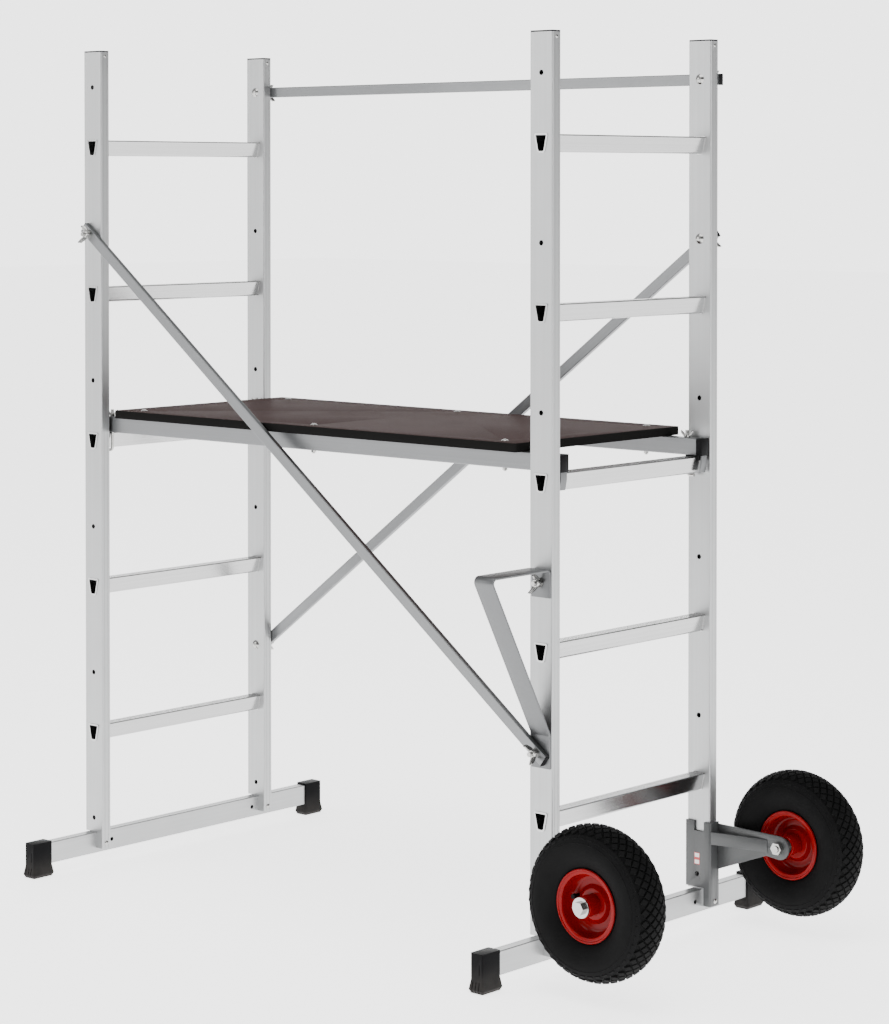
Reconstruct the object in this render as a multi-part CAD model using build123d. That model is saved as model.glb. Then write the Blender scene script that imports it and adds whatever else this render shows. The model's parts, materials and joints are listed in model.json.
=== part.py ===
from build123d import *
import os
from math import cos, radians, sin

# Small aluminium rolling scaffold: two ladder frames, two diagonals, a guard rail, a plywood
# platform hooked over a rung of each frame, and a pair of pneumatic wheels on the right frame.
# Millimetres, +Z up. The floor is z = 0, X runs from the left frame to the wheels, Y runs
# along the rungs with the front at -Y, and the origin is under the middle of the whole.

# ---- ladder frames -------------------------------------------------------------------------
LADDER_WIDTH = 452.0        # over the outer faces of a frame's two stiles, along Y
LADDER_PITCH = 1122.0       # from one frame to the same edge of the other, along X
STILE_WIDTH = 49.0          # along X
STILE_DEPTH = 21.0          # along Y
STILE_WALL = 1.8
STILE_CORNER = 2.5
HOLE_PITCH = 280.0          # cross holes in a stile, and so the rungs too
HOLE_COUNT = 6
HOLE_R = 4.5
LOWEST_HOLE_Z = 89.0
STILE_ABOVE_HOLE = 67.0     # top hole to the end of the stile
RUNG_BELOW_HOLE = 116.0     # hole to the middle of the rung under it
RUNG_TOP = 27.0             # tread width
RUNG_BOTTOM = 14.0
RUNG_HEIGHT = 30.0
RUNG_WALL = 1.8
RUNG_TOP_CORNER = 2.0
RUNG_BOTTOM_CORNER = 5.0
BEAD = 1.2                  # swaged bead of a rung: how far it stands out, and its length
RUNG_FIT = 0.05             # gap round a rung in its stile

# ---- base bars and feet --------------------------------------------------------------------
BAR_WIDTH = 20.0            # along X
BAR_HEIGHT = 40.0
BAR_WALL = 2.0
BAR_INSET = 11.0            # outer (-X) stile edge to the bar
BAR_OVERHANG = 153.0        # beyond the stile on each side
BAR_FLOOR_GAP = 22.0        # floor to the bar's underside
EAR_ABOVE_BAR = 10.0        # bar's underside to the end of the stile's ear
BAR_HOLE_R = 4.0
BAR_HOLE_INSET = 39.0       # outer stile face to the spare hole in the bar
FOOT_WALL = 3.0
FOOT_LENGTH = 44.0
FOOT_FLARE = 4.0            # how far the foot's base stands out all round
FOOT_FLARE_Z = 6.0          # height of the widest line
FOOT_CORNER = 2.0
FOOT_SLOTS = (-7.0, 0.0, 7.0)   # grooves in the foot's end, from its middle
FOOT_SLOT_WIDTH = 2.0
FOOT_SLOT_DEPTH = 0.5       # into the foot's upright end; deeper in its flare
FOOT_SLOT_Z = (2.0, 19.0)
FOOT_NICK_X = 6.0           # upright nick above the grooves, from the middle
FOOT_NICK_Z = (30.0, 48.0)
FOOT_NICK_DEPTH = 1.0
SLIP = 0.1                  # gap of a plastic part round or in a tube

# ---- braces, guard rail and their clamps ---------------------------------------------------
TUBE_HEIGHT = 20.0
TUBE_DEPTH = 10.0           # along Y
TUBE_WALL = 1.5
TUBE_CORNER = 1.5           # outer corner of the bars, tubes and rails
SHARPEST_CORNER = 0.25      # inside corner of any tube whose wall is thicker than its corner
BRACE_OVERHANG = 20.0       # clamp hole to the end of a diagonal
GUARD_OVERHANG = 26.0       # the same for the guard rail
PLUG_FLANGE = 1.6
PLUG_DEPTH = 9.0
TOUCH = 0.15                # gap between faces that are clamped together
BOLT_R = 4.0
BOLT_HEAD_R = 9.0
BOLT_HEAD_H = 4.5
WASHER_R = 8.0
WASHER_T = 1.6
THREAD_PAST_NUT = 5.0
NUT_SPAN_R = 17.5           # wing nut: reach of a wing from the axis
NUT_HUB_R = 7.5
NUT_HUB_H = 10.0
NUT_WING_H = 18.0
NUT_WING_T = 3.0
RUN = 0.05                  # radial running clearance
BOLT_CLEARANCE = 0.3        # radial gap of a bolt in a plain hole

# ---- strap bracket on the right front stile ------------------------------------------------
STRAP_WIDTH = 40.0          # along X
STRAP_T = 4.0
STRAP_INSET = 7.0           # outer stile edge to the strap
STRAP_REACH = 152.0         # stile face to the strap's outer bend
STRAP_BEND = 8.0            # bend radius at mid thickness
STRAP_TAIL = 24.0           # hole to the free end of the upper plate
STRAP_HEAD = 22.0           # hole to the middle of the level arm
STRAP_FOOT = 26.0           # hole to the free end of the lower plate
STRAP_HEEL = 29.0           # lower hole to where the sloping arm leaves the stile

# ---- platform ------------------------------------------------------------------------------
PLATFORM_RUNG = 2           # rung that carries it, counted from 0 at the bottom
PANEL_T = 15.0
PANEL_END_GAP = 33.5        # panel to the stiles' inner edges, along X
PANEL_SIDE_INSET = 3.5      # panel edge inside the outer stile faces, along Y
RAIL_WIDTH = 20.0
RAIL_HEIGHT = 30.0
RAIL_WALL = 2.0
RAIL_STILE_GAP = 3.0        # rail to the stile beside it
RAIL_END_INSET = 1.5        # rail's plugged end inside the frame's outer edge
RAIL_PLUG = 13.0
RAIL_TENON = 8.0            # how far a rail's plug reaches into it
SADDLE_T = 1.5
SADDLE_LIP = 8.0
SADDLE_LIP_T = 2.0
PANEL_BOLT_INSET = 50.0
PANEL_BOLT_R = 2.5
PANEL_BOLT_HEAD_R = 6.0
PANEL_BOLT_HEAD_H = 2.5
PANEL_NUT_AF = 8.0
PANEL_NUT_H = 4.0
PANEL_BOLT_END = 2.0        # panel bolt past its nut
PANEL_CORNER = 2.0
HOOK_R = 3.0                # J hook's rod
HOOK_RUNG_GAP = 0.6
HOOK_UNDER_GAP = 1.0
HOOK_NUT_TURN = 25.0        # how far a hook's wing nut is turned from the X axis
HOOK_BEND = 8.0
HOOK_REACH = 16.0           # rod's axis to the tip under the rung
HOOK_THREAD = 13.0          # rod above the rail
HOOK_NUT_SPAN_R = 11.5
HOOK_NUT_SHRINK = 0.62      # hook's wing nut against the clamps', apart from its span
CLAW_T = 3.0
CLAW_WIDTH = 16.0
CLAW_DROP = 30.0
CLAW_INSET = 2.0            # rail's plugged end to the claw
CLAW_RUNG_GAP = 1.0
CLAW_KNEE = 12.0            # rail's underside to the claw's knee

# ---- wheel brackets ------------------------------------------------------------------------
BRACKET_T = 4.0
BRACKET_GAP = 0.4           # bracket to the stile inside it
BRACKET_BOTTOM = 34.0
BRACKET_ABOVE_AXLE = 26.5
BRACKET_NOTCH = (18.0, 39.0, 17.0)   # from, to along X, and depth of the top notch
BRACKET_FOOT_NOTCH = (38.7, 3.5)     # width, and height above the base bar
ARM_END_R = 20.5
ARM_ROOT_DROP = 58.0        # axle to the plate's lower corner at its root
ARM_ROOT_RISE = 23.0
ARM_KNEE = (27.0, 17.5)     # axle to the knee of the lower edge: back, down
STRIP_HEIGHT = 22.0
STRIP_END = 24.0            # axle back to the strip's far end
STRIP_LAP = 13.0
STRIP_TIP = 1.5             # thickness of the strip's bevelled end
STRIP_ROOT = 1.0            # how far its root stands out of the angle's web on each side

# ---- wheels --------------------------------------------------------------------------------
TYRE_R = 127.0
TYRE_WIDTH = 80.0
TYRE_WALL = 6.0
WHEEL_LIFT = 28.5           # floor to the tyre: it rolls only when the frame is tipped
AXLE_REACH = 136.0          # stile's inner edge to the axle, along X
WHEEL_GAP = 11.6            # stile's outer face to the tyre
AXLE_R = 6.0
AXLE_NUT_AF = 19.0
AXLE_NUT_H = 10.0
AXLE_PAST_NUT = 3.0
AXLE_HEAD_H = 7.5
AXLE_WASHER_R = 16.5
AXLE_WASHER_T = 3.0
SPACER_R = 9.0
HUB_R = 17.5
HUB_LENGTH = 75.0
HUB_BORE_R = 9.0
BEARING_R = 14.0
BEARING_LENGTH = 10.0
BEARING_SET = 0.5           # bearing inside the hub's end
SIDE_PLAY = 0.2
RIM_SEAT_R = 52.8
RIM_LIP_R = 60.0
RIM_HALF_WIDTH = 29.5
RIM_FLANGE = 25.0           # middle plane to the flange behind the rolled lip
RIM_T = 2.5
RIM_WEB_R = 31.0            # where the flat web turns up into the middle boss
RIM_BOSS_R = 26.0
RIM_BOSS_H = 9.5
RIM_BOWL_R = 40.0           # where the web curves up to the bead seat's wall
RIM_BOWL_H = 18.0
RIM_JOINT = 0.05
BEAD_GAP = 0.3              # tyre to rim
VALVE_R = 3.2
VALVE_ANGLE = 167.0         # from +X towards +Z
VALVE_PITCH_R = 36.0
VALVE_LENGTH = 15.0
VALVE_CAP_R = 4.0
VALVE_CAP_START = 8.0       # web to the cap
RIM_SLOT_ANGLE = 192.0      # oval hole in the outer dish, beside the valve
RIM_SLOT_PITCH_R = 41.0
RIM_SLOT = (13.0, 7.0)      # length round the rim, and width

# ---- small screws --------------------------------------------------------------------------
SCREW_R = 2.4
SCREW_HEAD_R = 4.5
SCREW_HEAD_H = 2.2
SCREW_LENGTH = 24.0
CAP_T = 2.5
CAP_PLUG = 16.0
CAP_PLUG_CORNER = 0.6
RIVET_R = 1.6
RIVET_BELOW_TOP = 8.0
RIVET_LENGTH = 6.0
RIVET_HEAD_R = 3.0
RIVET_HEAD_H = 1.0

# ---- places worked out from the sizes above ------------------------------------------------
AXLE_X = STILE_WIDTH + AXLE_REACH
LOW_X = min(0.0, STILE_WIDTH / 2 - GUARD_OVERHANG - PLUG_FLANGE)
HIGH_X = LADDER_PITCH + AXLE_X + TYRE_R
LEFT_X = -(LOW_X + HIGH_X) / 2
RIGHT_X = LEFT_X + LADDER_PITCH
OUT_Y = LADDER_WIDTH / 2
IN_Y = OUT_Y - STILE_DEPTH
STILE_Y = (OUT_Y + IN_Y) / 2
HOLE_X = STILE_WIDTH / 2
HOLE_Z = [LOWEST_HOLE_Z + HOLE_PITCH * k for k in range(HOLE_COUNT)]
RUNG_Z = [z - RUNG_BELOW_HOLE for z in HOLE_Z[1:]]
STILE_TOP = HOLE_Z[-1] + STILE_ABOVE_HOLE
BAR_TOP = BAR_FLOOR_GAP + BAR_HEIGHT
BAR_MID_Z = BAR_FLOOR_GAP + BAR_HEIGHT / 2
BAR_END_Y = OUT_Y + BAR_OVERHANG
EAR_BOTTOM = BAR_FLOOR_GAP + EAR_ABOVE_BAR
EAR_X = BAR_INSET + BAR_WIDTH
AXLE_Z = WHEEL_LIFT + TYRE_R
WHEEL_Y = OUT_Y + WHEEL_GAP + TYRE_WIDTH / 2
TREAD_Z = RUNG_Z[PLATFORM_RUNG] + RUNG_HEIGHT / 2
RAIL_Z = TREAD_Z + SADDLE_T
PANEL_Z = RAIL_Z + RAIL_HEIGHT
RAIL_Y = IN_Y - RAIL_STILE_GAP - RAIL_WIDTH / 2
HOOK_OFFSET = RUNG_TOP / 2 + HOOK_RUNG_GAP + HOOK_R
BRACKET_OUT_X = STILE_WIDTH + BRACKET_GAP + BRACKET_T
BRACKET_TOP = AXLE_Z + BRACKET_ABOVE_AXLE
FRAMES = {"left": LEFT_X, "right": RIGHT_X}
SIDES = {"front": -1, "rear": 1}


def block(x, y, z):
    """A box given by its low and high x, y and z."""
    (x0, x1), (y0, y1), (z0, z1) = sorted(x), sorted(y), sorted(z)
    return Pos((x0 + x1) / 2, (y0 + y1) / 2, (z0 + z1) / 2) * Box(x1 - x0, y1 - y0, z1 - z0)


def rod(axis, r, at, span):
    """A round bar along X, Y or Z; at holds its other two coordinates, in X, Y, Z order."""
    low, high = sorted(span)
    turn, place = {
        "X": (Rot(0, 90, 0), ((low + high) / 2, *at)),
        "Y": (Rot(90, 0, 0), (at[0], (low + high) / 2, at[1])),
        "Z": (Rot(0, 0, 0), (*at, (low + high) / 2)),
    }[axis]
    return Pos(*place) * turn * Cylinder(r, high - low)


def tube_section(width, height, wall, corner):
    inner_corner = max(corner - wall, SHARPEST_CORNER)
    hollow = RectangleRounded(width - 2 * wall, height - 2 * wall, inner_corner)
    return RectangleRounded(width, height, corner) - hollow


def rung_section(grow=0.0):
    """Trapezium of a rung, tread up, drawn in X and Y and grown all round."""
    top, bottom, half = RUNG_TOP / 2, RUNG_BOTTOM / 2, RUNG_HEIGHT / 2
    outline = Polygon((-top, half), (-bottom, -half), (bottom, -half), (top, half), align=None)
    corners = outline.vertices().sort_by(Axis.Y)
    outline = fillet(corners[:2], RUNG_BOTTOM_CORNER)
    outline = fillet(outline.vertices().sort_by(Axis.Y)[-2:], RUNG_TOP_CORNER)
    return offset(outline, amount=grow) if grow else outline


def along_y(section, low, high):
    """Extrude a section drawn as X and Z so that it runs from low to high along Y."""
    return Pos(0, high, 0) * extrude(Plane.XZ * section, high - low, dir=(0, -1, 0))


def dome(r, h):
    """A low round head on z = 0, its top at z = h."""
    ball_r = (r * r + h * h) / (2 * h)
    cap = Pos(0, 0, h - ball_r) * Sphere(ball_r)
    return cap & Pos(0, 0, h / 2) * Cylinder(r, h)


def facing(side):
    """Turn a piece built along +Z to point outwards along Y on that side."""
    return Rot(-90 * side, 0, 0)


def mirrored(shape, side):
    """A piece built on the rear (+Y) side, or its mirror image on the front."""
    return shape if side > 0 else mirror(shape, about=Plane.XZ)


def group(pieces):
    return Compound(children=list(pieces))


# ---- ladder frames -------------------------------------------------------------------------
def stile(frame, side):
    x, y = FRAMES[frame], SIDES[side] * STILE_Y
    section = tube_section(STILE_WIDTH, STILE_DEPTH, STILE_WALL, STILE_CORNER)
    body = Pos(x + HOLE_X, y, EAR_BOTTOM) * extrude(section, STILE_TOP - EAR_BOTTOM)
    span = (y - STILE_DEPTH, y + STILE_DEPTH)
    for z in HOLE_Z:
        body -= rod("Y", HOLE_R, (x + HOLE_X, z), span)
    opening = along_y(rung_section(RUNG_FIT), *span)
    for z in RUNG_Z:
        body -= Pos(x + HOLE_X, 0, z) * opening
    body -= block((x - 1, x + EAR_X), span, (0, BAR_TOP))
    face = x + STILE_WIDTH
    body -= rod("X", SCREW_R + BOLT_CLEARANCE, (y, BAR_MID_Z), (face - 2 * STILE_WALL, face + 1))
    body -= rod("X", RIVET_R + SLIP, (y, STILE_TOP - RIVET_BELOW_TOP), (face - 4, face + 1))
    return body


def rung():
    """One rung about its own middle, beaded against both faces of both stiles."""
    hollow = rung_section(-RUNG_WALL)
    body = along_y(rung_section(), -OUT_Y, OUT_Y)
    for side in SIDES.values():
        for face in (OUT_Y, IN_Y - BEAD):
            low, high = sorted((side * face, side * (face + BEAD)))
            body += along_y(rung_section(BEAD), low, high)
    return body - along_y(hollow, -OUT_Y - 2 * BEAD, OUT_Y + 2 * BEAD)


def base_bar(frame):
    x = FRAMES[frame] + BAR_INSET + BAR_WIDTH / 2
    section = tube_section(BAR_WIDTH, BAR_HEIGHT, BAR_WALL, TUBE_CORNER)
    bar = Pos(x, 0, BAR_MID_Z) * along_y(section, -BAR_END_Y, BAR_END_Y)
    across = (x - BAR_WIDTH, x + BAR_WIDTH)
    for side in SIDES.values():
        bar -= rod("X", BAR_HOLE_R, (side * (OUT_Y - BAR_HOLE_INSET), BAR_MID_Z), across)
        screw_at = (side * STILE_Y, BAR_MID_Z)
        bar -= rod("X", SCREW_R + BOLT_CLEARANCE, screw_at, (x, x + BAR_WIDTH))
    return bar


def foot(frame, side):
    """Moulded foot over the end of a base bar: collar, flared base, ribbed end."""
    mid_x = FRAMES[frame] + BAR_INSET + BAR_WIDTH / 2
    end_y = BAR_END_Y + FOOT_WALL
    mid_y = end_y - FOOT_LENGTH / 2
    width = BAR_WIDTH + 2 * FOOT_WALL
    top = BAR_TOP + FOOT_WALL
    collar = Box(width, FOOT_LENGTH, top - BAR_FLOOR_GAP)
    collar = fillet(collar.edges().filter_by(Axis.Z), FOOT_CORNER)
    collar = Pos(mid_x, mid_y, (top + BAR_FLOOR_GAP) / 2) * collar

    def ring(z, grow):
        size = (width + 2 * grow, FOOT_LENGTH + 2 * grow)
        return Pos(mid_x, mid_y, z) * RectangleRounded(*size, FOOT_CORNER + grow)

    body = collar + loft([ring(BAR_FLOOR_GAP, 0), ring(FOOT_FLARE_Z, FOOT_FLARE)])
    body += loft([ring(FOOT_FLARE_Z, FOOT_FLARE), ring(0, 0)])
    pocket = (BAR_WIDTH / 2 + SLIP, BAR_HEIGHT / 2 + SLIP)
    body -= block((mid_x - pocket[0], mid_x + pocket[0]), (0, BAR_END_Y + SLIP),
                  (BAR_MID_Z - pocket[1], BAR_MID_Z + pocket[1]))
    half = FOOT_SLOT_WIDTH / 2
    reach = (end_y - FOOT_SLOT_DEPTH, end_y + FOOT_FLARE + 1)
    for shift in FOOT_SLOTS:
        body -= block((mid_x + shift - half, mid_x + shift + half), reach, FOOT_SLOT_Z)
    x = mid_x + FOOT_NICK_X
    body -= block((x - half, x + half), (end_y - FOOT_NICK_DEPTH, end_y + 1), FOOT_NICK_Z)
    return mirrored(body, SIDES[side])


def stile_cap(frame, side):
    x, y = FRAMES[frame] + HOLE_X, SIDES[side] * STILE_Y
    plate = extrude(RectangleRounded(STILE_WIDTH, STILE_DEPTH, STILE_CORNER), CAP_T)
    inset = 2 * (STILE_WALL + SLIP)
    section = RectangleRounded(STILE_WIDTH - inset, STILE_DEPTH - inset, CAP_PLUG_CORNER)
    plug = extrude(section, -CAP_PLUG)
    cap = Pos(x, y, STILE_TOP) * (plate + plug)
    edge = x + HOLE_X
    return cap - rod("X", RIVET_R + SLIP, (y, STILE_TOP - RIVET_BELOW_TOP), (edge - 12, edge))


def screw(x, y, z, length, r, head_r, head_h):
    """A dome-headed screw driven towards -X, its head's seat at x."""
    head = Pos(x, y, z) * Rot(0, 90, 0) * dome(head_r, head_h)
    return head + rod("X", r, (y, z), (x - length, x))


def frame_screws():
    """Ear screws at the base bars, and the rivets that hold the stile caps."""
    pieces = []
    for frame, x in FRAMES.items():
        seat = x + (BRACKET_OUT_X if frame == "right" else STILE_WIDTH) + TOUCH
        reach = seat - x - STILE_WIDTH + SCREW_LENGTH
        for side in SIDES.values():
            y = side * STILE_Y
            pieces.append(screw(seat, y, BAR_MID_Z, reach, SCREW_R, SCREW_HEAD_R, SCREW_HEAD_H))
            rivet_x, rivet_z = x + STILE_WIDTH + TOUCH, STILE_TOP - RIVET_BELOW_TOP
            pieces.append(screw(rivet_x, y, rivet_z, RIVET_LENGTH, RIVET_R, RIVET_HEAD_R, RIVET_HEAD_H))
    return group(pieces)


# ---- clamps, diagonals and guard rail ------------------------------------------------------
# Every clamp is a carriage bolt through a stile hole with its wing nut outside. It is given by
# its stile, its hole counted from 0 at the bottom, what lies between the stile's outer face and
# the washer, and how far its wing nut is turned.
TUBE_STACK = TUBE_DEPTH + 2 * TOUCH
STRAP_STACK = STRAP_T + 2 * TOUCH
GUARD_HOLE = HOLE_COUNT - 1
BRACE_TOP_HOLE = HOLE_COUNT - 2
BRACE_LOW_HOLE = 1
STRAP_TOP_HOLE = BRACE_LOW_HOLE + 1
CLAMPS = {
    "left_front_brace": ("left", "front", BRACE_TOP_HOLE, TUBE_STACK, 80),
    "right_front_strap": ("right", "front", STRAP_TOP_HOLE, STRAP_STACK, 68),
    "right_front_brace": ("right", "front", BRACE_LOW_HOLE, TUBE_STACK + STRAP_T + TOUCH, 120),
    "left_rear_guard": ("left", "rear", GUARD_HOLE, TUBE_STACK, 75),
    "right_rear_guard": ("right", "rear", GUARD_HOLE, TUBE_STACK, 100),
    "right_rear_brace": ("right", "rear", BRACE_TOP_HOLE, TUBE_STACK, 60),
    "left_rear_brace": ("left", "rear", BRACE_LOW_HOLE, TUBE_STACK, 110),
}


def wing_nut(span_r, shrink, bore_r):
    """A wing nut about its own axis, its seat on z = 0."""
    hub_h, wing_h = NUT_HUB_H * shrink, NUT_WING_H * shrink
    hub_r = NUT_HUB_R * shrink
    hub = Pos(0, 0, hub_h / 2) * Cone(hub_r, hub_r * 0.85, hub_h)
    wing = Polygon((0, 0.5 * shrink), (hub_r * 1.1, 0.5 * shrink), (span_r * 0.95, wing_h * 0.5),
                   (span_r, wing_h * 0.9), (span_r * 0.9, wing_h), (span_r * 0.72, wing_h * 0.95),
                   (hub_r * 0.8, hub_h * 0.95), (0, hub_h * 0.9), align=None)
    blade = extrude(Plane.XZ * wing, NUT_WING_T * shrink / 2, both=True)
    nut = hub + blade + Rot(0, 0, 180) * blade
    return nut - Cylinder(bore_r, 4 * wing_h)


def clamp_bolt(frame, side, hole, stack):
    x, z, s = FRAMES[frame] + HOLE_X, HOLE_Z[hole], SIDES[side]
    head = Pos(x, s * (IN_Y - TOUCH), z) * facing(-s) * dome(BOLT_HEAD_R, BOLT_HEAD_H)
    end = OUT_Y + stack + WASHER_T + NUT_HUB_H + THREAD_PAST_NUT
    return head + rod("Y", BOLT_R, (x, z), (s * (IN_Y - TOUCH), s * end))


def clamp_washer(frame, side, hole, stack):
    x, z, s = FRAMES[frame] + HOLE_X, HOLE_Z[hole], SIDES[side]
    low, high = sorted((s * (OUT_Y + stack), s * (OUT_Y + stack + WASHER_T)))
    ring = rod("Y", WASHER_R, (x, z), (low, high))
    return ring - rod("Y", BOLT_R + BOLT_CLEARANCE, (x, z), (low - 1, high + 1))


def clamp_nut(frame, side, hole, stack, turn):
    x, z, s = FRAMES[frame] + HOLE_X, HOLE_Z[hole], SIDES[side]
    seat = s * (OUT_Y + stack + WASHER_T + TOUCH)
    nut = wing_nut(NUT_SPAN_R, 1.0, BOLT_R + RUN)
    return Pos(x, seat, z) * facing(s) * Rot(0, 0, turn) * nut


def clamp_point(name, out):
    """Where a clamp's bolt crosses a plane that lies out beyond the stile's outer face."""
    frame, side, hole = CLAMPS[name][:3]
    return Vector(FRAMES[frame] + HOLE_X, SIDES[side] * (OUT_Y + out), HOLE_Z[hole])


def beam_plane(start, end):
    """Local X along the beam, Z square to it and up, Y through its thickness."""
    run = (end - start).normalized()
    return Plane(origin=start, x_dir=run, z_dir=(-run.Z, 0, run.X))


def beam(start, end, overhang):
    """A flat rectangular tube with a clamp hole at start and at end."""
    length = (end - start).length
    section = tube_section(TUBE_HEIGHT, TUBE_DEPTH, TUBE_WALL, TUBE_CORNER)
    tube = extrude(Plane.YZ * Rot(0, 0, 90) * section, length + 2 * overhang)
    tube = Pos(-overhang, 0, 0) * tube
    for x in (0, length):
        tube -= rod("Y", HOLE_R, (x, 0), (-TUBE_DEPTH, TUBE_DEPTH))
    return beam_plane(start, end) * tube


def beam_plugs(start, end, overhang):
    """The two black plugs in a tube's ends."""
    length = (end - start).length
    inset = 2 * (TUBE_WALL + SLIP)
    plugs = []
    for x, s in ((-overhang, -1), (length + overhang, 1)):
        flange = block((x, x + s * PLUG_FLANGE), (-TUBE_DEPTH / 2, TUBE_DEPTH / 2),
                       (-TUBE_HEIGHT / 2, TUBE_HEIGHT / 2))
        half_y, half_z = (TUBE_DEPTH - inset) / 2, (TUBE_HEIGHT - inset) / 2
        tenon = block((x, x - s * PLUG_DEPTH), (-half_y, half_y), (-half_z, half_z))
        plugs.append(beam_plane(start, end) * (flange + tenon))
    return plugs


MID = TOUCH + TUBE_DEPTH / 2
BEAMS = {
    "front_brace": (clamp_point("left_front_brace", MID),
                    clamp_point("right_front_brace", MID + STRAP_T + TOUCH), BRACE_OVERHANG),
    "rear_brace": (clamp_point("left_rear_brace", MID),
                   clamp_point("right_rear_brace", MID), BRACE_OVERHANG),
    "guard_rail": (clamp_point("left_rear_guard", MID),
                   clamp_point("right_rear_guard", MID), GUARD_OVERHANG),
}


def strap_bracket():
    """Flat bar bent to a triangle, clamped at two holes of the right front stile."""
    near = -(OUT_Y + TOUCH + STRAP_T / 2)
    far = -(OUT_Y + STRAP_REACH - STRAP_T / 2)
    upper, lower = HOLE_Z[STRAP_TOP_HOLE], HOLE_Z[BRACE_LOW_HOLE]
    x = RIGHT_X + STRAP_INSET + STRAP_WIDTH / 2
    path = FilletPolyline(
        (x, near, upper - STRAP_TAIL), (x, near, upper + STRAP_HEAD),
        (x, far, upper + STRAP_HEAD), (x, near, lower + STRAP_HEEL),
        (x, near, lower - STRAP_FOOT), radius=STRAP_BEND)
    start = Plane(origin=path @ 0, x_dir=(1, 0, 0), z_dir=path % 0)
    strap = sweep(start * Rectangle(STRAP_WIDTH, STRAP_T), path=path)
    for z in (upper, lower):
        strap -= rod("Y", HOLE_R, (RIGHT_X + HOLE_X, z), (near - STRAP_T, near + STRAP_T))
    return strap


# ---- platform ------------------------------------------------------------------------------
PANEL_X = (LEFT_X + STILE_WIDTH + PANEL_END_GAP, RIGHT_X - PANEL_END_GAP)
PANEL_BOLT_X = (PANEL_X[0] + PANEL_BOLT_INSET, sum(PANEL_X) / 2, PANEL_X[1] - PANEL_BOLT_INSET)
RAIL_X = (LEFT_X + RAIL_END_INSET + RAIL_PLUG, RIGHT_X + STILE_WIDTH - RAIL_END_INSET - RAIL_PLUG)
INWARD = {"left": 1, "right": -1}


def hook_x(frame):
    return FRAMES[frame] + HOLE_X + INWARD[frame] * HOOK_OFFSET


def panel():
    half = OUT_Y - PANEL_SIDE_INSET
    board = block(PANEL_X, (-half, half), (PANEL_Z, PANEL_Z + PANEL_T))
    board = chamfer(board.edges().filter_by(Axis.Z), PANEL_CORNER)
    for x in PANEL_BOLT_X:
        for s in SIDES.values():
            at = (x, s * RAIL_Y)
            board -= rod("Z", PANEL_BOLT_R + BOLT_CLEARANCE, at, (PANEL_Z - 1, PANEL_Z + PANEL_T + 1))
    return board


def platform_rail(side):
    y, mid_z = SIDES[side] * RAIL_Y, RAIL_Z + RAIL_HEIGHT / 2
    section = Rot(0, 0, 90) * tube_section(RAIL_HEIGHT, RAIL_WIDTH, RAIL_WALL, TUBE_CORNER)
    rail = Pos(RAIL_X[0], y, mid_z) * extrude(Plane.YZ * section, RAIL_X[1] - RAIL_X[0])
    through = (RAIL_Z - 1, PANEL_Z + 1)
    for x in PANEL_BOLT_X:
        rail -= rod("Z", PANEL_BOLT_R + BOLT_CLEARANCE, (x, y), through)
    for frame in FRAMES:
        rail -= rod("Z", HOOK_R + 2 * RUN, (hook_x(frame), y), through)
    return rail


def claw_x(frame):
    """Outer face of the steel claw that drops outside the rung."""
    end = RAIL_X[0] - RAIL_PLUG if frame == "left" else RAIL_X[1] + RAIL_PLUG
    return end + INWARD[frame] * CLAW_INSET


def rail_plug(frame, side):
    """Black end block of a platform rail, slotted for the claw."""
    y, s = SIDES[side] * RAIL_Y, INWARD[frame]
    end = RAIL_X[0] if frame == "left" else RAIL_X[1]
    half = RAIL_WIDTH / 2
    plug = block((end, end - s * RAIL_PLUG), (y - half, y + half), (RAIL_Z, PANEL_Z))
    inset = RAIL_WALL + SLIP
    plug += block((end, end + s * RAIL_TENON), (y - half + inset, y + half - inset),
                  (RAIL_Z + inset, PANEL_Z - inset))
    outer = claw_x(frame)
    slot = (outer - s * SLIP, outer + s * (CLAW_T + SLIP))
    half_slot = CLAW_WIDTH / 2 + SLIP
    return plug - block(slot, (y - half_slot, y + half_slot), (RAIL_Z - 1, RAIL_Z + RAIL_HEIGHT / 2))


def claw(frame, side):
    """Bent steel tongue that keeps the rail's end on the rung."""
    y, s, outer = SIDES[side] * RAIL_Y, INWARD[frame], claw_x(frame)
    top, knee = RAIL_Z + RAIL_HEIGHT / 2 - SLIP, RAIL_Z - CLAW_KNEE
    lean = abs(outer - FRAMES[frame] - HOLE_X) - CLAW_T - RUNG_TOP / 2 - CLAW_RUNG_GAP
    outline = Polygon((outer, top), (outer + s * CLAW_T, top), (outer + s * CLAW_T, knee),
                      (outer + s * (lean + CLAW_T), RAIL_Z - CLAW_DROP),
                      (outer + s * lean, RAIL_Z - CLAW_DROP), (outer, knee), align=None)
    return along_y(outline, y - CLAW_WIDTH / 2, y + CLAW_WIDTH / 2)


def saddle(frame, side):
    """Plastic pad between rail and rung, lipped over the tread's outer edge."""
    y, s = SIDES[side] * RAIL_Y, INWARD[frame]
    mid, half = FRAMES[frame] + HOLE_X, RAIL_WIDTH / 2
    outer = mid - s * (RUNG_TOP / 2 + SLIP)
    pad = block((outer, mid + s * RUNG_TOP / 2), (y - half, y + half),
                (TREAD_Z + RUN, RAIL_Z - RUN))
    return pad + block((outer, outer - s * SADDLE_LIP_T), (y - half, y + half),
                       (RAIL_Z - SADDLE_LIP, RAIL_Z - RUN))


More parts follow.
